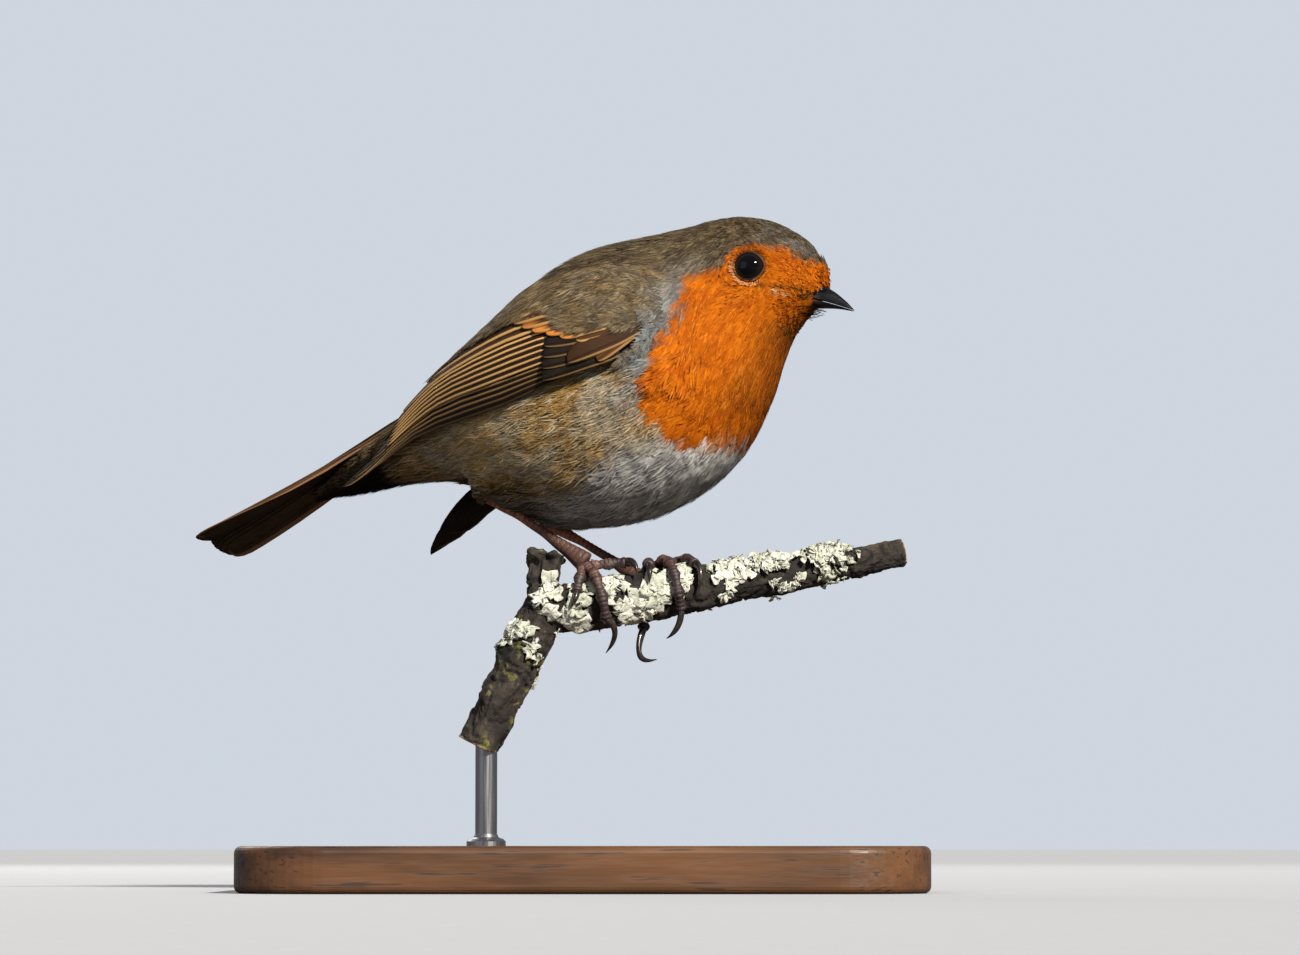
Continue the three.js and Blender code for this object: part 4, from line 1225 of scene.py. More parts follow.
# %% Flight feather finish
def vane_material(name, dark, light, fringe, spot, gloss=0.14):
    """Dark vanes with a pale outer edge. The look marks are: edge strength, tip spot, and warmth."""
    made, tree, shader = finish(name, Roughness=0.65, Specular_IOR_Level=gloss)
    u, v, _ = add(tree, "SeparateXYZ", Vector=add(tree, "UVMap", {"uv_map": "vane"}).outputs[0]).outputs
    edged, spotted, warm = add(tree, "SeparateColor", Color=attribute(tree, "marks")["Color"]).outputs
    own = add(tree, "SeparateColor", Color=attribute(tree, "fibre")["Color"]).outputs[0]
    off_shaft = sums("ABSOLUTE", sums("SUBTRACT", u, 0.5))
    slant = sums("ADD", times(v, 90.0), times(off_shaft, -26.0))
    barb_place = add(tree, "CombineXYZ", X=slant, Y=times(own, 40.0), Z=0.0).outputs[0]
    barbs = speckle(barb_place, 1.6, 2.0)
    broad = speckle(object_place(tree), 240.0, 3.0)
    mood = sums("ADD", times(barbs, 0.55), times(broad, 0.45))
    edge = times(ease(u, 0.17, 0.28, 1.0, 0.0), edged)
    edge = times(edge, ease(barbs, 0.1, 0.5, 0.75, 1.0))
    rim = times(ease(v, 0.965, 0.995), ease(edged, 0.5, 1.0, 0.0, 0.6))
    spots = times(ease(v, 0.70, 0.86), ease(u, 0.45, 0.75, 1.0, 0.0))
    shaft = ease(off_shaft, 0.012, 0.035, 0.75, 0.0)
    colour = covered(painted(mood, 0.3, 0.7, dark, light), (times(warm, 0.6), spot),
                     (edge, fringe), (rim, fringe), (times(spots, spotted), spot), (shaft, "241A14"))
    paint(shader, colour, ease(off_shaft, 0.01, 0.05, 0.45, 0.68))
    relief(shader, barbs, 0.00006, 0.6)
    return made


FLIGHT = vane_material("flight_feathers", "120D0B", "2E241D", "F4BF78", "DB8A3C")
TAIL_VANES = vane_material("tail_feathers", "2C241C", "4A3D2E", "8A664A", "5E3C24", gloss=0.03)

# %% [markdown]
# ## The folded wings
# The stack is laid from the lowest primary upwards, each feather a seventh of a millimetre over the last.
# The coverts then hide the roots: a row of greater coverts with orange tips, the dark primary coverts, and
# the alula along the wing's lower edge.


# %% Flight feathers
def at_level(depth):
    """A height under the wing's surface that eases off towards its thin tip."""
    return lambda t: -depth * (1 - 0.55 * smooth(t, 0.65, 1.0))


def flight_feathers(chart, tip_chart):
    """Five primaries on the tip's map, then six secondaries and three tertials."""
    made = []
    folded = chart is tip_chart
    tips = (0.93, 0.985, 1.0, 0.955, 0.90) if folded else (0.89, 0.935, 0.95, 0.93, 0.895)
    edges = (0.1, 0.25, 0.45, 0.5, 0.5) if folded else (0.05, 0.1, 0.1, 0.15, 0.2)
    web, point, taper = (3.4, 0.38, 1.25) if folded else (3.2, 0.3, 0.8)
    for k, (tip, edge) in enumerate(zip(tips, edges)):
        path = [(0.30, 0.02 + 0.035 * k), (0.55, 0.0 + 0.045 * k), (0.74, 0.01 + 0.05 * k),
                (0.74 + 0.65 * (tip - 0.74), 0.04 + 0.07 * k), (tip, 0.45 + 0.03 * k)]
        made.append(long_feather(tip_chart, path, 0.9, web, at_level(1.87 - 0.1 * k), point=point,
                                 look=(edge, 0, 0.0), taper=taper))
    for k in range(6):
        path = [(0.30, 0.2 + 0.052 * k), (0.55, 0.2 + 0.050 * k), (0.70, 0.205 + 0.048 * k),
                (0.81 - 0.010 * k, 0.22 + 0.050 * k)]
        made.append(long_feather(chart, path, 1.0, 4.6, at_level(1.2 - 0.13 * k), point=0.8,
                                 look=(1, 0, 0.05)))
    tertials = (
        [(0.30, 0.50), (0.45, 0.495), (0.60, 0.48), (0.735, 0.50)],
        [(0.30, 0.58), (0.42, 0.575), (0.54, 0.57), (0.655, 0.60)],
        [(0.30, 0.67), (0.40, 0.67), (0.50, 0.67), (0.585, 0.70)],
    )
    for k, path in enumerate(tertials):
        made.append(long_feather(chart, path, 1.5, 5.6, at_level(0.42 - 0.14 * k), point=0.72,
                                 look=(0.8, 0, 0.1)))
    return made


def covert_feathers(chart):
    """Four primary coverts, seven greater coverts with their tip spots, and two feathers of the alula."""
    made = []
    for k in range(4):
        path = [(0.14, 0.05 + 0.08 * k), (0.25, 0.04 + 0.085 * k), (0.352 - 0.008 * k, 0.05 + 0.09 * k)]
        made.append(long_feather(chart, path, 0.8, 3.2, at_level(0.75 - 0.12 * k), look=(0.25, 0, 0)))
    tips = [(0.245, 0.28), (0.285, 0.345), (0.318, 0.40), (0.35, 0.455), (0.375, 0.52), (0.395, 0.59),
            (0.41, 0.67)]
    spots = (0.0, 0.75, 1.0, 1.0, 0.6, 0.1, 0.0)
    for k, ((t, s), spot) in enumerate(zip(tips, spots)):
        path = [(t - 0.17, s + 0.02), (t - 0.09, s + 0.01), (t, s)]
        made.append(long_feather(chart, path, 1.3, 3.4, at_level(0.28 - 0.09 * k), point=0.7,
                                 look=(0.55, spot, 0.15)))
    for middle, tip, wide, depth, warm in ((0.15, (0.20, 0.045), 2.2, 0.34, 0.2),
                                           (0.18, (0.275, 0.11), 3.0, 0.16, 0.08)):
        made.append(long_feather(chart, [(0.03, 0.27), (0.12, middle), tip], 0.9, wide, at_level(depth),
                                 point=0.7, look=(0.35, 0, warm)))
    return made


for side, (chart, tip_chart) in WINGS.items():
    stack = feather_stack(f"wing_{side}_flight_feathers", flight_feathers(chart, tip_chart), FLIGHT,
                          "flight_feathers")
    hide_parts(f"wing_{side}_primaries", f"wing_{side}_secondaries")
    coverts = feather_stack(f"wing_{side}_greater_coverts", covert_feathers(chart), FLIGHT,
                            "flight_feathers")
    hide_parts(f"wing_{side}_coverts")

# %% [markdown]
# A dark bed under the vanes closes the wing where feathers part, and soft small coverts and the long loose
# scapulars go over its upper half.


# %% A grid put into shape
def shaped_grid(rows, columns, place):
    """A plain grid whose points go where place(along, across) says, welded where its edges meet."""
    built = bmesh.new()
    bmesh.ops.create_grid(built, x_segments=columns, y_segments=rows, size=0.5)
    flat = np.array([vert.co[:2] for vert in built.verts]) + 0.5
    for vert, p in zip(built.verts, place(flat[:, 1], flat[:, 0]) * MM):
        vert.co = p
    bmesh.ops.remove_doubles(built, verts=built.verts, dist=0.0005 * MM)
    bmesh.ops.recalc_face_normals(built, faces=built.faces)
    return built


# %% Wing beds
BED, tree, shader = finish("wing_bed", Roughness=0.85)
bed_tone = speckle(object_place(tree), 900.0)
paint(shader, painted(bed_tone, 0.3, 0.7, "2A211A", "47392B"))
for side, (chart, _) in WINGS.items():
    def bed_place(along, across, chart=chart):
        t = 0.01 + 0.80 * along
        s = 0.06 + (0.90 - 0.16 * smooth(t, 0.4, 0.6)) * across
        depth = value_along(WING_THICK, t) * (0.35 + 0.65 * np.sin(np.pi * s))
        depth = np.maximum(0.85 * depth, 2.3 * (1 - 0.55 * smooth(t, 0.65, 1.0)))
        return to_world(chart.at(t, s, -depth)) / MM

    bed = from_bmesh(shaped_grid(48, 16, bed_place), f"wing_{side}_bed", BED)
    thicken(bed, 0.25, offset=0)
print("beds under the wings")


# %% Soft feathers on the wings
def plain_olive(p):
    return np.tile([0.0, 0.0, 0.12, 0.0], (len(p), 1))


def no_shade(p):
    return np.zeros(len(p))


# rows and columns on the wing, gap, length at its front edge and how it grows, lift, and barbs
WING_COATS = {
    "marginal": ((0.0, 0.10), (0.36, 0.95), 0.65, 3.4, 16, 0.5, 16),
    "lesser": ((0.07, 0.19), (0.42, 0.92), 0.8, 4.8, 8, 0.6, 20),
    "median": ((0.16, 0.23), (0.47, 0.9), 0.9, 6.0, 0, 0.6, 24),
}
for side, (chart, _) in WINGS.items():
    for kind, (t_range, s_range, gap, start, growth, rise, barbs) in WING_COATS.items():
        roots = rows_of_roots(chart, t_range, s_range, lambda t: gap)
        count = len(roots)
        length = (start + growth * roots[:, 0]) * RNG.uniform(*SPREAD, count)
        turn = RNG.normal(0, 0.07, count)
        lift = rise * RNG.uniform(0.8, 1.1, count)
        coat_piece(f"wing_{side}_{kind}_coverts", chart, roots, length, length * SLIM, turn, lift, barbs,
                   back=1, marks=plain_olive, tone_and_painted_light=no_shade, sunk=0.4)


# %% Shoulder and breast side
def on_the_wing(wing, p):
    """The wing's t and s nearest to each point, and how far it is."""
    rows, columns = wing.points.shape[:2]
    flat = wing.points.reshape(-1, 3)
    gaps = np.concatenate([np.linalg.norm(block[:, None] - flat, axis=-1)
                           for block in np.array_split(p, 20)])
    nearest = gaps.argmin(axis=1)
    return nearest // columns / (rows - 1), nearest % columns / (columns - 1), gaps.min(axis=1)


def shoulder_marks(p):
    """The zones of the body, a little streakier."""
    found = zones(p)
    found[:, 2] = np.maximum(found[:, 2], 0.22 * (1 - found[:, 0]))
    return found


def pale_tips_and_highlights(p):
    """A pale feather here and there on the shoulder, more in some places: pale tips and painted highlights.
    """
    places = smooth(waver(p, 0.65, 31) + 0.7 * waver(p, 5.0, 44), 0.35, 0.8)
    return 0.55 * places * smooth(12 - p[:, 0], 0, 4)


for side, (wing, _) in WINGS.items():
    chart = MEETING[side]
    roots = rows_of_roots(chart, (0.02, 0.98), (0.0, 1.0), lambda t: 0.92)
    p = chart.at(*roots.T)
    t, s, away = on_the_wing(wing, p)
    over_top = (s > 0.74) & (away < 5.0) & (t > 0) & (t < 0.58)
    bend = (t < 0.03) | ((t < 0.07) & (s < 0.2)) | ((t < 0.11) & (s < 0.07))
    kept = over_top | (bend & (away < 4.6) & (p[:, 2] > 3))
    roots, x, t = roots[kept], p[kept, 0], t[kept]
    length = (4.6 + 3.2 * smooth(20 - x, 2, 12)) * RNG.uniform(*SPREAD, len(roots))
    down = 0.14 if side == "right" else -0.14
    turn = down + RNG.normal(0, 0.07, len(roots))
    lift = RNG.uniform(0.6, 0.85, len(roots)) * (1 - 0.5 * smooth(t, 0.38, 0.56))
    coat_piece(f"shoulder_{side}_feathers", chart, roots, length, length * SLIM, turn, lift, 24, back=1,
               marks=shoulder_marks, tone_and_painted_light=pale_tips_and_highlights, sunk=0.35, barb_width=0.042)

# %% [markdown]
# ## The tail
# Twelve feathers lie in a closed fan, the middle pair on top and each next pair a step lower and further
# out. Their surface is tented along the middle and rolled a little to one side, as the bird carries it.

# %% Tail
TAIL_ROOT, TAIL_TIP = np.array([-28, 0, 3.1]), np.array([-81.3, 0, -23.6])
TAIL_ROLL = math.radians(18)
TAIL_HALF = [3.6, 4.2, 4.8, 5.4, 6.0, 6.4, 6.6, 6.4]
TAIL_TENT = 1.1
TAIL_ROWS, TAIL_COLUMNS = 40, 41


def tail_points():
    run = TAIL_TIP - TAIL_ROOT
    length = np.linalg.norm(run)
    axis = run / length
    side = np.array(Matrix.Rotation(TAIL_ROLL, 3, Vector(axis)) @ Vector((0, 1, 0)))
    up = np.cross(side, axis)
    up *= np.sign(up[2])
    t = np.linspace(0, 1, TAIL_ROWS)[:, None]
    across = np.linspace(-1, 1, TAIL_COLUMNS)[None]
    rise = 1.0 - 0.4 * t - TAIL_TENT * across**2 - 1.2 * np.sin(np.pi * t)
    rise = rise - 1.9 * smooth(-across, 0.7, 1.0) * (1 - smooth(t, 0.3, 0.95))  # the near edge curls over
    return (TAIL_ROOT + axis * (length * t + 0 * across)[..., None]
            + side * (value_along(TAIL_HALF, t) * across)[..., None] + up * rise[..., None])


TAIL = SurfaceMap(tail_points())
rectrices = []
for k in reversed(range(6)):
    for side in (-1, 1):
        path = [(-0.06, 0.5 + side * 0.02 * k), (0.3, 0.5 + side * (0.03 + 0.035 * k)),
                (0.7, 0.5 + side * (0.08 + 0.055 * k)),
                (0.955 + 0.009 * k - 0.0024 * k * k, 0.5 + side * (0.11 + 0.062 * k))]
        level = -0.2 - 0.21 * k - 0.08 * (side < 0)
        # the outermost pair's full pale edge is partly painted highlight, the tail's sunlit upper strip
        look = (1.0 if k == 5 else 0.35, 0, 0.25 if k > 3 else 0.0)
        rectrices.append(long_feather(TAIL, path, 2.0, 3.4, lambda t, level=level: level + 0 * t,
                                      toward=side, edge_path=False, point=0.86, look=look))
tail = feather_stack("tail_feathers", rectrices, TAIL_VANES, "flight_feathers", thickness=0.13)
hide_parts("tail")

# %% [markdown]
# ## Eyes
# A robin's eye is large and nearly black, set in a thin bare lid. The ball is a sphere turned to look along
# its axis, so that its pole is the pupil, with a clear coat for the wet gloss. The lid is a ring that rides
# on it.

# %% Eye and lid finishes
EYE_GLASS, tree, shader = finish("eye", Roughness=0.04, Coat_Weight=0.3, Coat_Roughness=0.01,
                                 Specular_IOR_Level=0.2)
iris = blend(speckle(object_place(tree), 4000.0), "0C0705", "1E120B")
pupil_edge = ease(attribute(tree, "ring")["Fac"], 0.56, 0.62)
paint(shader, blend(pupil_edge, "020202", iris))

EYELID, tree, shader = finish("eyelid", Roughness=0.55)
lid_place = object_place(tree)
lid_tone = speckle(lid_place, 3600.0, 1.0)
lid_colour = painted(lid_tone, 0.42, 0.54, "4A2810", "E3A65C")
lid_colour = blend(attribute(tree, "glow")["Fac"], "54280C", lid_colour)
lid_edge = ease(attribute(tree, "ring")["Fac"], 0.12, 0.4)
paint(shader, blend(lid_edge, "0C0908", lid_colour))
relief(shader, speckle(lid_place, 5000.0), 0.00005, 0.6)
print("eye and lid finishes")


# %% Round the eye
def ring_glow(off):
    """How pale the ring round an eye is, by the direction from its middle: behind and below the most."""
    way = unit(off)
    return smooth(-0.6 * way[:, 0] - 0.8 * way[:, 2], -0.25, 0.45)


LID_RADIUS = 2.60
LID_SECTION = (0.22, 0.17)  # its half width and half height
LID_ROWS, LID_COLUMNS = 96, 14
RING_REACH = (2.55, 4.8)  # mm from the eye's axis
RING_ROWS, RING_COLUMNS = 10, 48
RING_START = 12  # mm out along the axis, where the rays start


def across_axis(axis):
    """An axis, the level direction across it, and the one that rises."""
    flat = unit(np.cross(axis, [0, 0, 1]))
    return axis, flat, np.cross(flat, axis)


def ring_map(side):
    """The coat round an eye as rings."""
    axis, flat, rise = across_axis(eye_axis(side))
    found = np.zeros((RING_ROWS, RING_COLUMNS, 3))
    for i, reach in enumerate(np.linspace(*RING_REACH, RING_ROWS)):
        for j in range(RING_COLUMNS):
            angle = 2 * math.pi * j / RING_COLUMNS
            out = flat * math.cos(angle) + rise * math.sin(angle)
            start = eye_at(side) + out * reach + axis * RING_START
            found[i, j] = COAT_TREE.ray_cast(Vector(start), Vector(-axis), 2 * RING_START)[0]
    return SurfaceMap(found, closed=True)


# %% Eyeballs, lids and the rings of small feathers
for name, side in (("left", 1), ("right", -1)):
    axis, flat, rise = across_axis(TURN @ eye_axis(side))
    centre = to_world(eye_at(side))
    ball = bmesh.new()
    bmesh.ops.create_uvsphere(ball, u_segments=64, v_segments=48, radius=EYE_RADIUS * MM)
    look = Vector((0, 0, 1)).rotation_difference(Vector(axis)).to_matrix()
    bmesh.ops.rotate(ball, matrix=look, verts=ball.verts)
    bmesh.ops.translate(ball, vec=Vector(centre), verts=ball.verts)
    eye = from_bmesh(ball, f"eyeball_{name}", EYE_GLASS)
    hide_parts(f"eye_{name}")
    off = unit(read_points(eye.data) - centre)
    mark(eye.data, "ring", np.arccos(np.clip(off @ axis, -1, 1)))

    def lid_place_at(along, across):
        turn, around = 2 * np.pi * along, 2 * np.pi * across
        corner = 0.22 * np.abs(np.cos(turn)) ** 6  # the lids meet in a point before and behind
        reach = LID_RADIUS * (1 - 0.05 * np.abs(np.sin(turn))) + corner + LID_SECTION[0] * np.cos(around)
        seat = np.sqrt(np.maximum(EYE_RADIUS**2 - reach**2, 0.1)) * 0.9 + 0.28
        height = seat + LID_SECTION[1] * np.sin(around)
        across_dir = np.cos(turn)[:, None] * flat + np.sin(turn)[:, None] * rise
        return centre / MM + across_dir * reach[:, None] + axis * height[:, None]

    ring = shaped_grid(LID_ROWS, LID_COLUMNS, lid_place_at)
    lid = from_bmesh(ring, f"eyelid_{name}", EYELID)
    off = read_points(lid.data) - centre
    reach = np.linalg.norm(off - (off @ axis)[:, None] * axis, axis=1) / MM
    mark(lid.data, "ring", np.clip((reach - LID_RADIUS + LID_SECTION[0]) / (2 * LID_SECTION[0]), 0, 1))
    mark(lid.data, "glow", ring_glow(off @ TURN))

    # a ring of tiny feathers, rooted under the lid and pointing out and back
    def ring_tint(p, side=side):
        return 0.5 * ring_glow(p - eye_at(side))

    chart = ring_map(side)
    roots = rows_of_roots(chart, (0.04, 0.2), (0, 1), lambda t: 0.3)
    way = unit(chart.read(chart.down, *roots.T))
    beside = np.cross(unit(chart.read(chart.normal, *roots.T)), way)
    wish = way + [-0.5, 0, 0]
    lean = np.arctan2((wish * beside).sum(-1), (wish * way).sum(-1)) + RNG.normal(0, 0.12, len(roots))
    length = RNG.uniform(0.65, 1.0, len(roots))
    lift = RNG.uniform(0.38, 0.5, len(roots))
    coat_piece(f"eye_ring_{name}", chart, roots, length, length * 0.3, lean, lift, 9, "plumage_red",
               back=1, tone_and_painted_light=ring_tint, barb_width=0.09, sunk=0.28)
print("eyes and lids made")

# %% [markdown]
# ## Bill
# Two horny mandibles meet along the gape, each a half-round shell that narrows to the tip. The upper one
# has a ridge and hooks slightly over the lower. The nostril is a small hollow pressed into its side.

# %% Bill
BILL_BASE, BILL_TIP = np.array([38.7, 16.5]), np.array([48.4, 13.8])
BILL_UPPER = [2.25, 2.5, 2.65, 2.65, 2.45, 2.1, 1.55, 0.9, 0.14]
BILL_LOWER = [1.9, 1.8, 1.6, 1.3, 1.0, 0.72, 0.48, 0.3, 0.1]
BILL_HALF = [3.1, 2.8, 2.35, 1.85, 1.5, 1.15, 0.8, 0.5, 0.14]
NOSTRIL = np.array([42.9, 1.35, 17.3])
NOSTRIL_SIZE = [0.75, 0.7, 0.36]
NOSTRIL_DEPTH = 0.55
BILL_ARC = 0.72  # the share of each section that is its rounded side; the rest is the flat gape


def mandible_place(is_upper):
    """Where a grid's points go on one mandible: along it, and round its section."""
    def place(along, around):
        gape = BILL_BASE[1] + (BILL_TIP - BILL_BASE)[1] * along - 0.35 * along**3
        x = BILL_BASE[0] + (BILL_TIP - BILL_BASE)[0] * along
        height = value_along(BILL_UPPER if is_upper else BILL_LOWER, along)
        width = value_along(BILL_HALF, along) * (1 if is_upper else 0.86)
        angle = np.pi * np.minimum(around / BILL_ARC, 1)
        back = np.clip((around - BILL_ARC) / (1 - BILL_ARC), 0, 1)
        rise = height * np.sin(angle) ** (0.95 if is_upper else 0.85) * (around < BILL_ARC) + 0.04
        y = np.where(around < BILL_ARC, width * np.cos(angle), width * (2 * back - 1))
        ends = np.minimum(along / 0.02, 1) * np.minimum((1 - along) / 0.02, 1) ** 0.5
        p = np.stack([x, y * ends, gape + (1 if is_upper else -1) * rise * ends], axis=1)
        if is_upper:
            off = (p * [1, 0, 1] + [0, 1, 0] * np.abs(p) - NOSTRIL) / NOSTRIL_SIZE
            dent = np.exp(-((off**2).sum(axis=1)))
            p[:, 1] -= np.sign(p[:, 1]) * NOSTRIL_DEPTH * dent
        return to_world(p) / MM

    return place


# %% Bill finish
HORN, tree, shader = finish("bill_horn", Roughness=0.4, Coat_Weight=0.3, Coat_Roughness=0.16,
                            Specular_IOR_Level=0.15)
horn_long = add(tree, "Mapping", Vector=object_place(tree), Scale=(1.0, 3.0, 6.0),
                Rotation=(0, 0, -BODY_YAW)).outputs[0]
horn_grain = speckle(horn_long, 900.0, 4.0)
horn_colour = painted(horn_grain, 0.3, 0.7, "06060A", "131319")
horn_base = times(attribute(tree, "base")["Fac"], 0.55)
paint(shader, blend(horn_base, horn_colour, "7A5234"), ease(horn_grain, 0.2, 0.8, 0.34, 0.5))
relief(shader, horn_grain, 0.00006, 0.5)

# %% Mandibles
PALE_ENDS = (40.6, 43.6)  # the horn darkens between these, measured along the bill
GAPE_FALL = 0.28  # how fast the gape falls towards the tip
for name, is_upper in (("upper", True), ("lower", False)):
    bill = from_bmesh(shaped_grid(72, 56, mandible_place(is_upper)), f"mandible_{name}", HORN)
    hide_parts(f"bill_{name}")
    p = to_bird(read_points(bill.data))
    gape = bell(p[:, 2] - BILL_BASE[1] + (p[:, 0] - BILL_BASE[0]) * GAPE_FALL, 0.5)
    mark(bill.data, "base", (1 - smooth(p[:, 0], *PALE_ENDS)) * gape)
print("bill made")

# %% [markdown]
# ## Legs, toes and claws
# Each shank, toe and claw is a tube along its own path. The toes' paths are given on the twig, by how far
# along it, how far round it and how far off the bark each one runs, so that they grip it. Overlapping
# scutes step along the front of each toe, and pads swell under its joints.

# %% Tubes
TWIG_PATH = [[-6.8, -6.0, 49.6], [-1.6, -5.7, 49.4], [2.7, -5.3, 50.1], [9.7, -4.3, 51.2],
             [20.1, -2.4, 52.9], [30.7, -0.4, 54.5], [43, 2, 56.9], [56, 4.6, 59.6]]
TWIG_RADII = [4.0, 4.5, 4.5, 4.1, 3.4, 3.1, 2.8, 2.5]
FINE = 400  # points of a line that is measured along


def read_line(at, where, line):
    """Points of a line, found at some values of a number that rises along it."""
    return np.stack([np.interp(at, where, line[:, k]) for k in range(3)], axis=-1)


def even_line(path, count):
    """Points an even distance apart along a smooth path."""
    dense = value_along(path, np.linspace(0, 1, FINE))
    run = np.concatenate([[0], np.cumsum(np.linalg.norm(np.diff(dense, axis=0), axis=1))])
    return read_line(np.linspace(0, run[-1], count), run, dense)


TWIG_LINE = even_line(TWIG_PATH, FINE)


def on_bark(x, degrees, off):
    """A point near the twig at x, degrees round from its top towards -Y, and off the bark by some mm."""
    share = np.interp(x, TWIG_LINE[:, 0], np.linspace(0, 1, FINE))
    centre = read_line(x, TWIG_LINE[:, 0], TWIG_LINE)
    reach = float(value_along(TWIG_RADII, share)) + off
    angle = math.radians(degrees)
    return centre + np.array([0, -reach * math.sin(angle), reach * math.cos(angle)])


def off_the_twig(line):
    """The directions from the twig's middle to points near it."""
    return unit(line - read_line(line[:, 0], TWIG_LINE[:, 0], TWIG_LINE))


def tube(path, radii, facing, rows, sides, rise=None, flat=1.0):
    """A closed round limb. facing says which way its front looks, and rise(along, angle) adds relief."""
    line = even_line(path, rows + 1)
    tangent = unit(np.gradient(line, axis=0))
    front = square_to(facing(line), tangent)
    side = np.cross(tangent, front)

    def place(along, around):
        i = np.rint(along * rows).astype(int)
        angle = 2 * np.pi * around
        reach = value_along(radii, along)
        if rise:
            reach = reach + rise(along, angle)
        reach = (reach * np.where((i == 0) | (i == rows), 0, 1))[:, None]
        out = np.cos(angle)[:, None] * front[i] + flat * np.sin(angle)[:, None] * side[i]
        return line[i] + reach * out

    return shaped_grid(rows, sides, place)


# %% [markdown]
# The skin of a leg is horn in small plates. One finish with other colours serves shanks and toes: it is
# darker in the grooves between the plates, and turns to the colour of the foot towards its lower end.

# %% Leg finishes
def scute_material(name, dark, light, foot, low):
    """Scaly skin. Down the limb it turns to the colour of the foot, and it's darkest in the grooves."""
    made, tree, shader = finish(name, Roughness=0.45)
    place = object_place(tree)
    mottle = speckle(place, 700.0, 4.0)
    grain = speckle(place, 3200.0, 3.0)
    ankle = ease(attribute(tree, "down_limb")["Fac"], 0.3, 0.7)
    groove = attribute(tree, "groove")["Fac"]
    colour = covered(painted(mottle, 0.3, 0.7, dark, light),
                     (times(ankle, 0.9), foot), (times(groove, 0.6), low))
    paint(shader, colour, ease(grain, 0.2, 0.8, 0.36, 0.56))
    relief(shader, sums("ADD", grain, times(mottle, 2.0)), 0.00014, 0.8)
    return made


SHANK_SKIN = scute_material("shank_scutes", "8A4A2C", "C27A50", "4A3632", "2E1A15")
TOE_SKIN = scute_material("toe_scutes", "3C2925", "7A5A50", "3A2C2E", "171010")
CLAW_HORN, tree, shader = finish("claw_horn", Roughness=0.3, Coat_Weight=0.2)
claw_tone = speckle(object_place(tree), 1800.0)
paint(shader, painted(claw_tone, 0.3, 0.7, "16110F", "3B2E28"))
relief(shader, claw_tone, 0.00004, 0.4)

# %% Feet
TARSUS_RADIUS, TOE_RADIUS, CLAW_RADIUS = 0.95, 0.95, 0.84
TARSUS_TAPER = (1.3, 0.98, 0.92, 1.0, 1.2, 1.75)
TOE_TAPER = (1.15, 0.94, 0.92, 0.9)
CLAW_TAPER = (1.0, 0.9, 0.62, 0.1)
# The heel and the root of the toes, and for each toe its start and end, and its claw's bow and tip.
FEET = {
    "right": {
        "heel": [-19.1, 0.6, 70.4], "root": [0.3, -6.1, 57.1],
        "toes": {
            "hind": ([0.4, -4, 2.4], [1.9, -85, 0.9], [2.2, -118, 2.2], [2.7, -156, 1.0]),
            "inner": ([1.2, 8, 2.2], [7.2, 17, 2.0], [9.1, 29, 2.9], [9.2, 52, 1.3]),
            "middle": ([0.6, 12, 2.2], [3.8, 121, 1.2], [6.9, 141, 2.8], [3.7, 163, 4.9]),
            "outer": ([-0.1, 9, 2.2], [-1.2, 64, 0.9], [-1.5, 84, 1.7], [-2.4, 94, 0.9]),
        },
    },
    "left": {
        "heel": [-7.6, 11.2, 65.7], "root": [10.8, 1.0, 54.0],
        "toes": {
            "hind": ([10.6, -78, 1.6], [10.3, -158, 1.2], [7.8, -178, 7.4], [12.7, -188, 7.0]),
            "inner": ([10.9, -62, 1.5], [11.2, 28, 1.1], [11.5, 46, 2.4], [11.3, 70, 0.9]),
            "middle": ([11.2, -64, 1.5], [16.8, 128, 1.2], [16.9, 145, 4.2], [14.2, 160, 4.2]),
            "outer": ([11.6, -66, 1.5], [19.2, 38, 1.0], [20.8, 54, 2.2], [19.8, 100, 1.4]),
        },
    },
}
SCUTE = 0.72  # mm from one scute of a toe to the next
PAD = 3.4  # mm from one pad of a toe to the next
TOE_STEP = 0.14  # mm between the rings of a toe's mesh


def steps_of_scutes(count, depth, pads):
    """Relief with overlapping plates on the front and soft pads behind."""
    def rise(along, angle):
        front = smooth(np.cos(angle), -0.1, 0.45)
        plate = (along * count) % 1
        seam = bell(np.minimum(plate, 1 - plate), 0.10)
        knob = 0.12 * np.cos(2 * np.pi * along * pads)
        beads = knob + 0.05 * np.cos(2 * np.pi * along * pads * 4)
        return knob + front * depth * (0.5 * (1 - plate) - 1.1 * seam) + (1 - front) * beads
    return rise


def toe_path(toe):
    """A toe's points over the bark, one for about every 40 degrees."""
    start, end = np.array(toe[0]), np.array(toe[1])
    count = 2 + math.ceil(abs(end[1] - start[1]) / 40)
    points = []
    for i in range(count + 1):
        u = i / count
        spread = u + 0.6 * u * (1 - u)  # it spreads sideways first, then bends down
        share = np.array([spread, u, spread])
        points.append(on_bark(*(start + (end - start) * share)))
    return np.array(points)


def limb_piece(name, path, radii, facing, material, rows, sides, count=0, depth=0.0, pads=0, flat=1.0):
    """One limb as a piece. With a count of scutes it is marked with its grooves and the way down it."""
    relief_of = steps_of_scutes(count, depth, pads) if count else None
    built = tube(path, radii, facing, rows, sides, relief_of, flat)
    piece = from_bmesh(built, name, material)
    if count:
        line = even_line(path, rows + 1)
        p = read_points(piece.data) / MM
        nearest = np.linalg.norm(p[:, None] - line[None], axis=-1).argmin(axis=1) / rows
        plate = (nearest * count) % 1
        mark(piece.data, "groove", bell(np.minimum(plate, 1 - plate), 0.12))
        mark(piece.data, "down_limb", nearest)
    return piece


def shank_front(line):
    return np.tile([0.6, -0.2, 0.7], (len(line), 1))


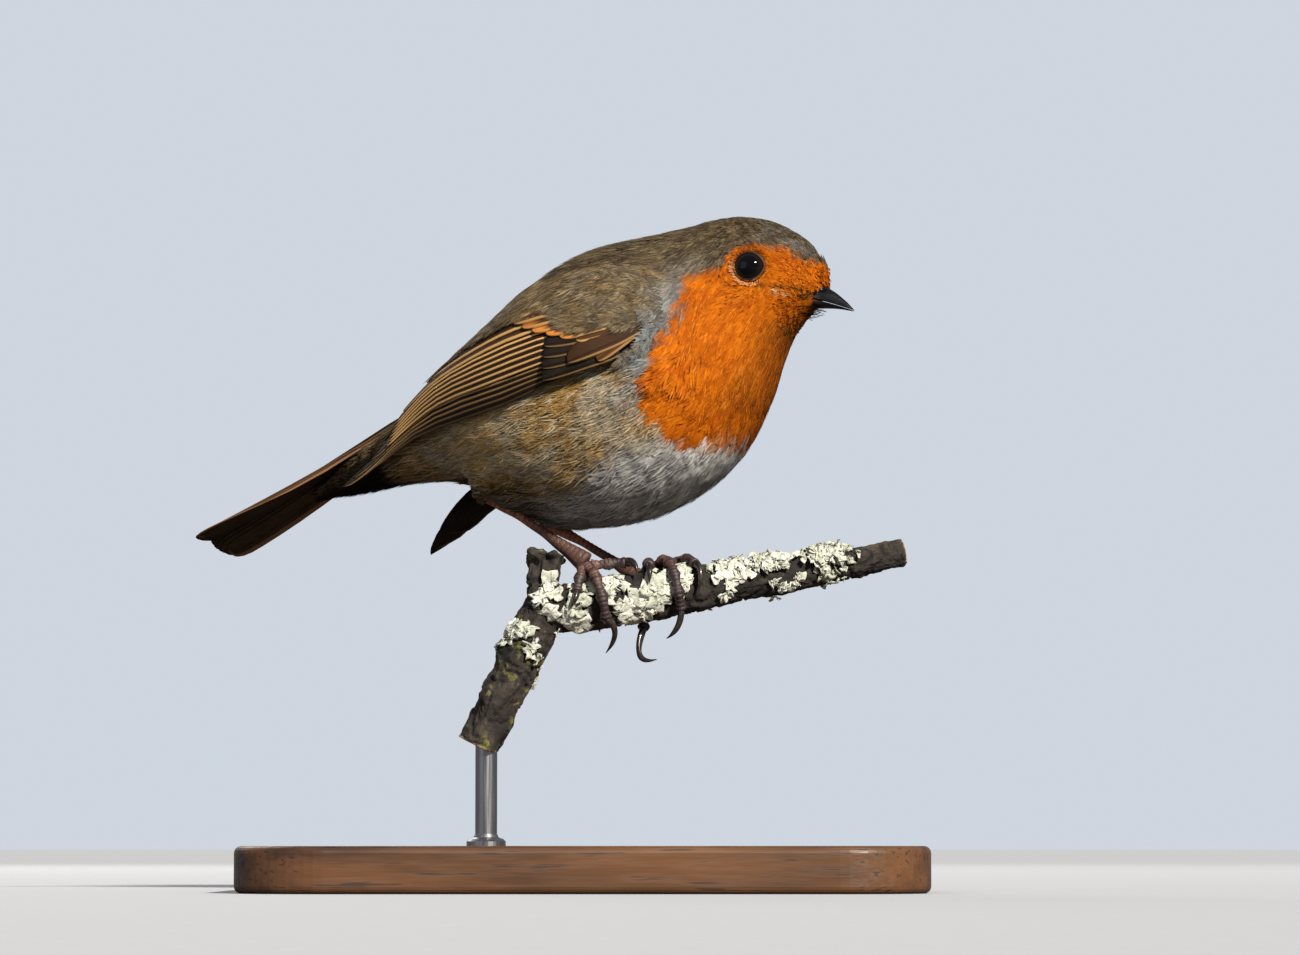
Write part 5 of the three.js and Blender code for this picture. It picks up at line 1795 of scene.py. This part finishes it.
for side, foot in FEET.items():
    heel, root = np.array(foot["heel"]), np.array(foot["root"])
    bend = heel + (root - heel) * 0.5 + np.array([0.0, 0.0, 0.25])
    shank = limb_piece(f"shank_{side}", [heel, bend, root], [k * TARSUS_RADIUS for k in TARSUS_TAPER],
                       shank_front, SHANK_SKIN, 150, 24, count=25, depth=0.12, pads=1,
                       flat=0.82)
    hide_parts(f"tarsus_{side}")
    for toe_name, toe in foot["toes"].items():
        path = toe_path(toe)
        length = path_length(path)
        made = limb_piece(f"toe_skin_{side}_{toe_name}", path, [k * TOE_RADIUS for k in TOE_TAPER],
                          off_the_twig, TOE_SKIN, int(length / TOE_STEP), 20,
                          count=round(length / SCUTE), depth=0.17, pads=max(round(length / PAD), 2))
        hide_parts(f"toe_{side}_{toe_name}")
        bow = arc(*(on_bark(*place) for place in toe[1:]), np.linspace(0, 1, 9)[:, None])
        claw = limb_piece(f"claw_horn_{side}_{toe_name}", bow, [k * CLAW_RADIUS for k in CLAW_TAPER],
                          off_the_twig, CLAW_HORN, 36, 16, flat=0.7)
        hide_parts(f"claw_{side}_{toe_name}")
print("legs made")

# %% [markdown]
# ## The twig
# The bark starts from the solid branch, melted to an even mesh. Noise lifts it in low ridges, and cracks
# run round it where the wood has grown. Each point also carries how deep in a crack it lies and whether it
# is a sawn end.

# %% Bark
BOUGH_PATH = [[-6.8, -6.0, 50.8], [-9.2, -5.8, 44.1], [-12.7, -5.4, 37.5], [-16.0, -5.0, 30.6],
              [-18.4, -4.6, 25.4]]
STUB_PATH = [[-7.0, -6.0, 48.8], [-7.4, -5.9, 53.2], [-6.5, -5.6, 58.7]]
BARK_VOXEL = 0.32
CRACK_DEPTH = 0.42
LICHEN_SPOTS = [  # where each crust is, how far it reaches, how many plates it has and how large they are
    ((-12.8, -7.8, 44.6), 3.2, 8, 1.6), ((-2.4, -10.0, 47.2), 4.2, 11, 1.8),
    ((9.6, -9.0, 50.2), 4.8, 20, 1.8), ((24.5, -4.2, 56.2), 4.6, 34, 1.15),
    ((42.0, -0.6, 59.0), 4.2, 84, 0.75), ((4.6, -8.8, 53.0), 4.0, 10, 1.6),
    ((16.0, -6.5, 54.2), 3.8, 13, 1.5), ((33.0, -2.0, 58.2), 5.4, 56, 0.85),
    ((36.0, -2.8, 54.0), 2.2, 4, 1.0), ((-6.4, -9.6, 51.8), 2.4, 5, 1.5),
    ((-8.4, -9.5, 41.0), 2.0, 3, 1.1), ((20.0, 1.5, 54.5), 4.6, 14, 1.4),
    ((44.0, 3.8, 58.6), 4.4, 18, 1.2), ((4.0, -1.4, 51.2), 4.0, 12, 1.6),
    ((-12.8, -3.0, 41.0), 3.6, 8, 1.6),
]
BRANCH_POINTS = 120
BRANCH_LINES = [even_line(path, BRANCH_POINTS) for path in (TWIG_PATH, BOUGH_PATH, STUB_PATH)]


def along_and_round(p):
    """For each point: which branch it is on, how far along it in mm, and its direction from the middle."""
    gaps = np.stack([np.linalg.norm(p[:, None] - line[None], axis=-1) for line in BRANCH_LINES])
    branch = gaps.min(axis=2).argmin(axis=0)
    at = gaps.argmin(axis=2)[branch, np.arange(len(p))]
    lengths = np.array([path_length(line) for line in BRANCH_LINES])
    middle = np.array([BRANCH_LINES[b][i] for b, i in zip(branch, at)])
    return branch, at / (BRANCH_POINTS - 1) * lengths[branch], unit(p - middle)


def cloud(points, seed):
    return np.array([noise.noise(Vector(q) + Vector((seed, seed, 0))) for q in points])


bark_mesh = one_surface(["perch_branch"], 0.0, BARK_VOXEL)
bark = bmesh.new()
bark.from_mesh(bark_mesh)
iron_mesh(bark, 2)
bark.normal_update()
p = np.array([vert.co for vert in bark.verts]) / MM
normals = np.array([vert.normal for vert in bark.verts])
branch, run, round_dir = along_and_round(p)
wander = cloud(p / 2.4, 3) * 1.2
across, upward = round_dir[:, 1], round_dir[:, 2]
rings = cloud(np.stack([run * 0.42 + wander * 0.5, across * 0.7, upward * 0.7 + branch], 1), 9)
seams = cloud(np.stack([run * 0.10, across * 2.6, upward * 2.6 + 7 * branch], 1), 21)
crack = np.maximum(smooth(0.13 - np.abs(rings), 0, 0.13), 0.7 * smooth(0.1 - np.abs(seams), 0, 0.1))
ridges = (0.30 + 0.35 * (branch > 0)) * cloud(p / 3.6, 5)
ridges = ridges + 0.2 * cloud(p / 1.3, 6) + 0.08 * cloud(p / 0.55, 8)
sawn = np.zeros(len(p))
for line in BRANCH_LINES[:2]:  # the twig and the bough are sawn off, the stub is broken
    way = unit(line[-1] - line[-3])
    sawn = np.maximum(sawn, smooth((p - line[-1]) @ way, -0.7, -0.35) * smooth(normals @ way, 0.5, 0.8))
shift = (ridges - CRACK_DEPTH * crack) * (1 - sawn)
shift += (branch == 2) * smooth(p[:, 2], 55.5, 58) * (1.6 * cloud(p / 1.8, 14) - 0.3)
for vert, n, d in zip(bark.verts, normals, shift):
    vert.co += Vector(n * d * MM)
bark.to_mesh(bark_mesh)
bark.free()
# painted shade: the bark darkens round each lichen crust, in the gaps among its raised plates
crusts = [smooth(reach * 1.3 - np.linalg.norm(p - spot, axis=1), -0.6, 1.2)
          for spot, reach, _, _ in LICHEN_SPOTS]
moss = np.where(branch == 2, 0.15 + 0.85 * smooth(p[:, 2], 55, 57.5), np.where(branch == 1, 0.6, 0.1))
moss *= smooth(cloud(p / 3.2, 31), -0.35, 0.15)
for label, values in (("crack", crack), ("sawn", sawn), ("shade_round_lichen", np.max(crusts, axis=0)), ("moss", moss)):
    mark(bark_mesh, label, values)
print("bark:", len(bark_mesh.polygons), "faces")

# %% [markdown]
# Old bark is dark and gritty. Its marks, carried on the mesh, darken the cracks and, as painted shade, the
# rim round each crust, lay moss on the stub and show pale wood at the sawn ends.

# %% Bark finish
BARK, tree, shader = finish("bark", Roughness=0.85)
bark_place = object_place(tree)
patch = speckle(bark_place, 160.0, 5.0)
grit = speckle(bark_place, 1800.0, 4.0, 0.7)
tufts = speckle(bark_place, 420.0, 5.0, 0.65)
deep, end_grain, shade_round_lichen, mossy = (attribute(tree, name)["Fac"] for name in ("crack", "sawn", "shade_round_lichen", "moss"))
colour = painted(patch, 0.32, 0.62, "241F1C", "443A33",
                 (grit, 0.3, 0.6, 0.7, 0.0, "191411"), (grit, 0.6, 0.78, 0.0, 0.45, "766A5B"))
green = times(ease(tufts, 0.53, 0.63), mossy)
# the rim round each lichen crust is painted shade
colour = covered(colour, (times(shade_round_lichen, 0.6), "14110F"), (times(green, 0.9), "94914A"),
                 (times(deep, 0.9), "120E0B"), (end_grain, painted(grit, 0.3, 0.7, "A5834F", "CDB283")))
paint(shader, colour)
relief(shader, sums("ADD", grit, times(patch, 0.5)), 0.0003, 0.7)
twig = settle(bark_mesh, "twig_bark", BARK)
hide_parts("perch_branch")
print("bark finished")

# %% [markdown]
# ## Lichen
# Leafy grey-green lichen grows in rosettes: many small lobed plates that overlap, curl up at their rims and
# leave dark gaps. One plate is a lobed disc, and a few hundred of them are pressed onto the bark where the
# crusts are.

# %% Lichen
PLATE_SIDES = 18
PLATE_RINGS = ((0.0, 0.12), (0.45, 0.22), (0.8, 0.34), (1.0, 0.30))  # how far out, and how high in mm
PLATE_THICKNESS = 0.14
bark_touch = touch_tree(read_points(bark_mesh) / MM, bark_mesh)


def lichen_plates():
    """Points, triangles, and for each point its plate's tone and how far out on the plate it is."""
    points, tris, tones, outs = [], [], [], []
    for spot, reach, count, widest in LICHEN_SPOTS:
        for _ in range(count):
            guess = Vector(np.array(spot) + RNG.normal(0, 0.45, 3) * reach)
            seat, normal = bark_touch.find_nearest(guess)[:2]
            normal = normal.normalized()
            flat = normal.orthogonal().normalized()
            other = normal.cross(flat)
            size = widest * RNG.uniform(0.5, 1.2)
            lobes, phase, tilt = RNG.integers(3, 6), RNG.uniform(0, 6.3), RNG.uniform(0, 6.3)
            low = RNG.uniform(0.0, 0.35) + (widest < 1) * RNG.uniform(0.0, 0.9)
            low *= min(1.0, max(0.2, 1 + 1.6 * normal.z))  # plates under the twig lie close to it
            first = sum(len(block) for block in points)
            block = []
            for ring_at, (out, high) in enumerate(PLATE_RINGS):
                for i in range(PLATE_SIDES if ring_at else 1):
                    angle = 2 * math.pi * i / PLATE_SIDES
                    lobe = (1 + 0.28 * math.sin(lobes * angle + phase)
                            + 0.11 * math.sin((2 * lobes + 1) * angle + 2 * phase))
                    go = size * out * lobe
                    spread = flat * math.cos(angle) + other * math.sin(angle)
                    ground, up = bark_touch.find_nearest(seat + spread * go)[:2]
                    curl = 0.3 * out**3 * math.sin(2 * angle + tilt) + 0.26 * out * RNG.uniform(-0.3, 1.0)
                    block.append(ground + up * (high + low + curl * (ring_at > 1)))
            points.append(block)
            for i in range(PLATE_SIDES):
                j = (i + 1) % PLATE_SIDES
                tris.append((first, first + 1 + i, first + 1 + j))
                for ring_at in range(len(PLATE_RINGS) - 2):
                    a = first + 1 + ring_at * PLATE_SIDES
                    tris.append((a + i, a + PLATE_SIDES + i, a + PLATE_SIDES + j))
                    tris.append((a + i, a + PLATE_SIDES + j, a + j))
            tones += [RNG.random()] * len(block)
            outs += [0.0] + [out for out, _ in PLATE_RINGS[1:] for _ in range(PLATE_SIDES)]
    return np.array([q for block in points for q in block]), np.array(tris), np.array(tones), np.array(outs)


plates, plate_tris, plate_tones, plate_outs = lichen_plates()

# %% Lichen finish
LICHEN, tree, shader = finish("lichen", Roughness=0.92)
crumb = speckle(object_place(tree), 1300.0, 5.0, 0.7)
tone, out, _ = add(tree, "SeparateColor", Color=attribute(tree, "fibre")["Color"]).outputs
paint(shader, layered(blend(tone, "C0C4B0", "ECEBDE"), (crumb, 0.3, 0.5, 0.75, 0.0, "5C5D49"),
                      (crumb, 0.6, 0.8, 0.0, 0.6, "EFEFE4"), (out, 0.5, 0.0, 0.0, 0.45, "7C7C60")))
relief(shader, crumb, 0.0003, 0.8)
lichen_fibre = np.stack([plate_tones, plate_outs, plate_outs, np.ones(len(plates))], axis=1)
lichen = from_arrays("lichen_plates", to_bird(plates * MM), np.zeros((0, 4), int), plate_tris, LICHEN,
                     "lichen", fibre=lichen_fibre)
thicken(lichen, PLATE_THICKNESS)
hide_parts(*(f"lichen_{n}" for n in range(1, 6)))
print("lichen:", len(plate_tris), "triangles")

# %% [markdown]
# ## The stand
# A rounded walnut slab, its long edges softened, carries one steel rod in a small turned collar.

# %% Walnut
WALNUT, tree, shader = finish("walnut", Roughness=0.4, Coat_Weight=0.15, Coat_Roughness=0.25)
walnut_place = object_place(tree)
warp = speckle(walnut_place, 12.0, 2.0)
for_bands, for_pores = (add(tree, "Mapping", Vector=walnut_place, Scale=(along, 1.0, 1.0)).outputs[0]
                        for along in (0.12, 0.06))
bands = speckle(for_bands, 160.0, 4.0, 0.6)
pores = speckle(for_pores, 1500.0, 2.0)
colour = painted(bands, 0.3, 0.7, "2E1C12", "6B4529",
                 (warp, 0.4, 0.7, 0.0, 0.35, "855B38"), (pores, 0.30, 0.42, 0.7, 0.0, "180E09"))
paint(shader, colour, ease(pores, 0.3, 0.6, 0.6, 0.36))
relief(shader, pores, 0.0001, 0.4)

# %% Base
BASE_SIZE = (118, 78, 8)
BASE_CORNER, BASE_EDGE = 16, 1.2


def bevelled(shape, edges, offset, segments):
    bmesh.ops.bevel(shape, geom=edges, offset=offset * MM, offset_type="OFFSET", segments=segments,
                    profile=0.5, affect="EDGES", material=-1)


base = bmesh.new()
bmesh.ops.create_cube(base, size=1)
bmesh.ops.scale(base, vec=Vector(BASE_SIZE) * MM, verts=base.verts)
bmesh.ops.translate(base, vec=(0, 0, BASE_SIZE[2] / 2 * MM), verts=base.verts)
upright = [edge for edge in base.edges if abs(edge.verts[0].co.z - edge.verts[1].co.z) > MM]
bevelled(base, upright, BASE_CORNER, 16)
level = [edge for edge in base.edges if len(edge.link_faces) == 2
         and {abs(face.normal.z) > 0.9 for face in edge.link_faces} == {True, False}]
bevelled(base, level, BASE_EDGE, 4)
slab = from_bmesh(base, "walnut_base", WALNUT, smooth_faces=False)
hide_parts("stand_base")
print("base:", BASE_SIZE, "mm")

# %% Steel
STEEL, tree, shader = finish("brushed_steel", Metallic=1.0, Roughness=0.3)
strokes = add(tree, "Mapping", Vector=object_place(tree), Scale=(1.0, 1.0, 0.02)).outputs[0]
brush = speckle(strokes, 4000.0, 2.0)
paint(shader, blend(brush, "8C8C90", "B9BABD"), ease(brush, 0.2, 0.8, 0.24, 0.42))

# %% Rod
ROD_RADIUS, COLLAR_RADIUS = 1.9, 3.4
rod_low, rod_high = (np.array(corner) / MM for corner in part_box("stand_rod"))
ROD_AT = (rod_low + rod_high) / 2
TOP, FOOT, HEAD = BASE_SIZE[2], rod_low[2], rod_high[2]
# radii and heights of the rod and of the collar that seats it in the slab
ROD_OUTLINE = [(0.0, FOOT), (ROD_RADIUS, FOOT), (ROD_RADIUS, TOP - 1), (COLLAR_RADIUS, TOP - 1),
               (COLLAR_RADIUS, TOP + 0.8), (3.0, TOP + 1.2), (2.2, TOP + 1.5), (ROD_RADIUS, TOP + 2.1),
               (ROD_RADIUS, HEAD - 0.3), (ROD_RADIUS - 0.3, HEAD), (0.0, HEAD)]
rod = bmesh.new()
outline = [rod.verts.new(Vector((ROD_AT[0] + r, ROD_AT[1], z)) * MM) for r, z in ROD_OUTLINE]
edges = [rod.edges.new(pair) for pair in zip(outline, outline[1:])]
bmesh.ops.spin(rod, geom=outline + edges, cent=Vector((ROD_AT[0], ROD_AT[1], 0)) * MM, axis=(0, 0, 1),
               angle=2 * math.pi, steps=48, use_merge=True)
bmesh.ops.remove_doubles(rod, verts=rod.verts, dist=0.001 * MM)
bmesh.ops.recalc_face_normals(rod, faces=rod.faces)
rod_piece = from_bmesh(rod, "steel_rod", STEEL, smooth_faces=False)
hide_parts("stand_rod")
print("stand made")
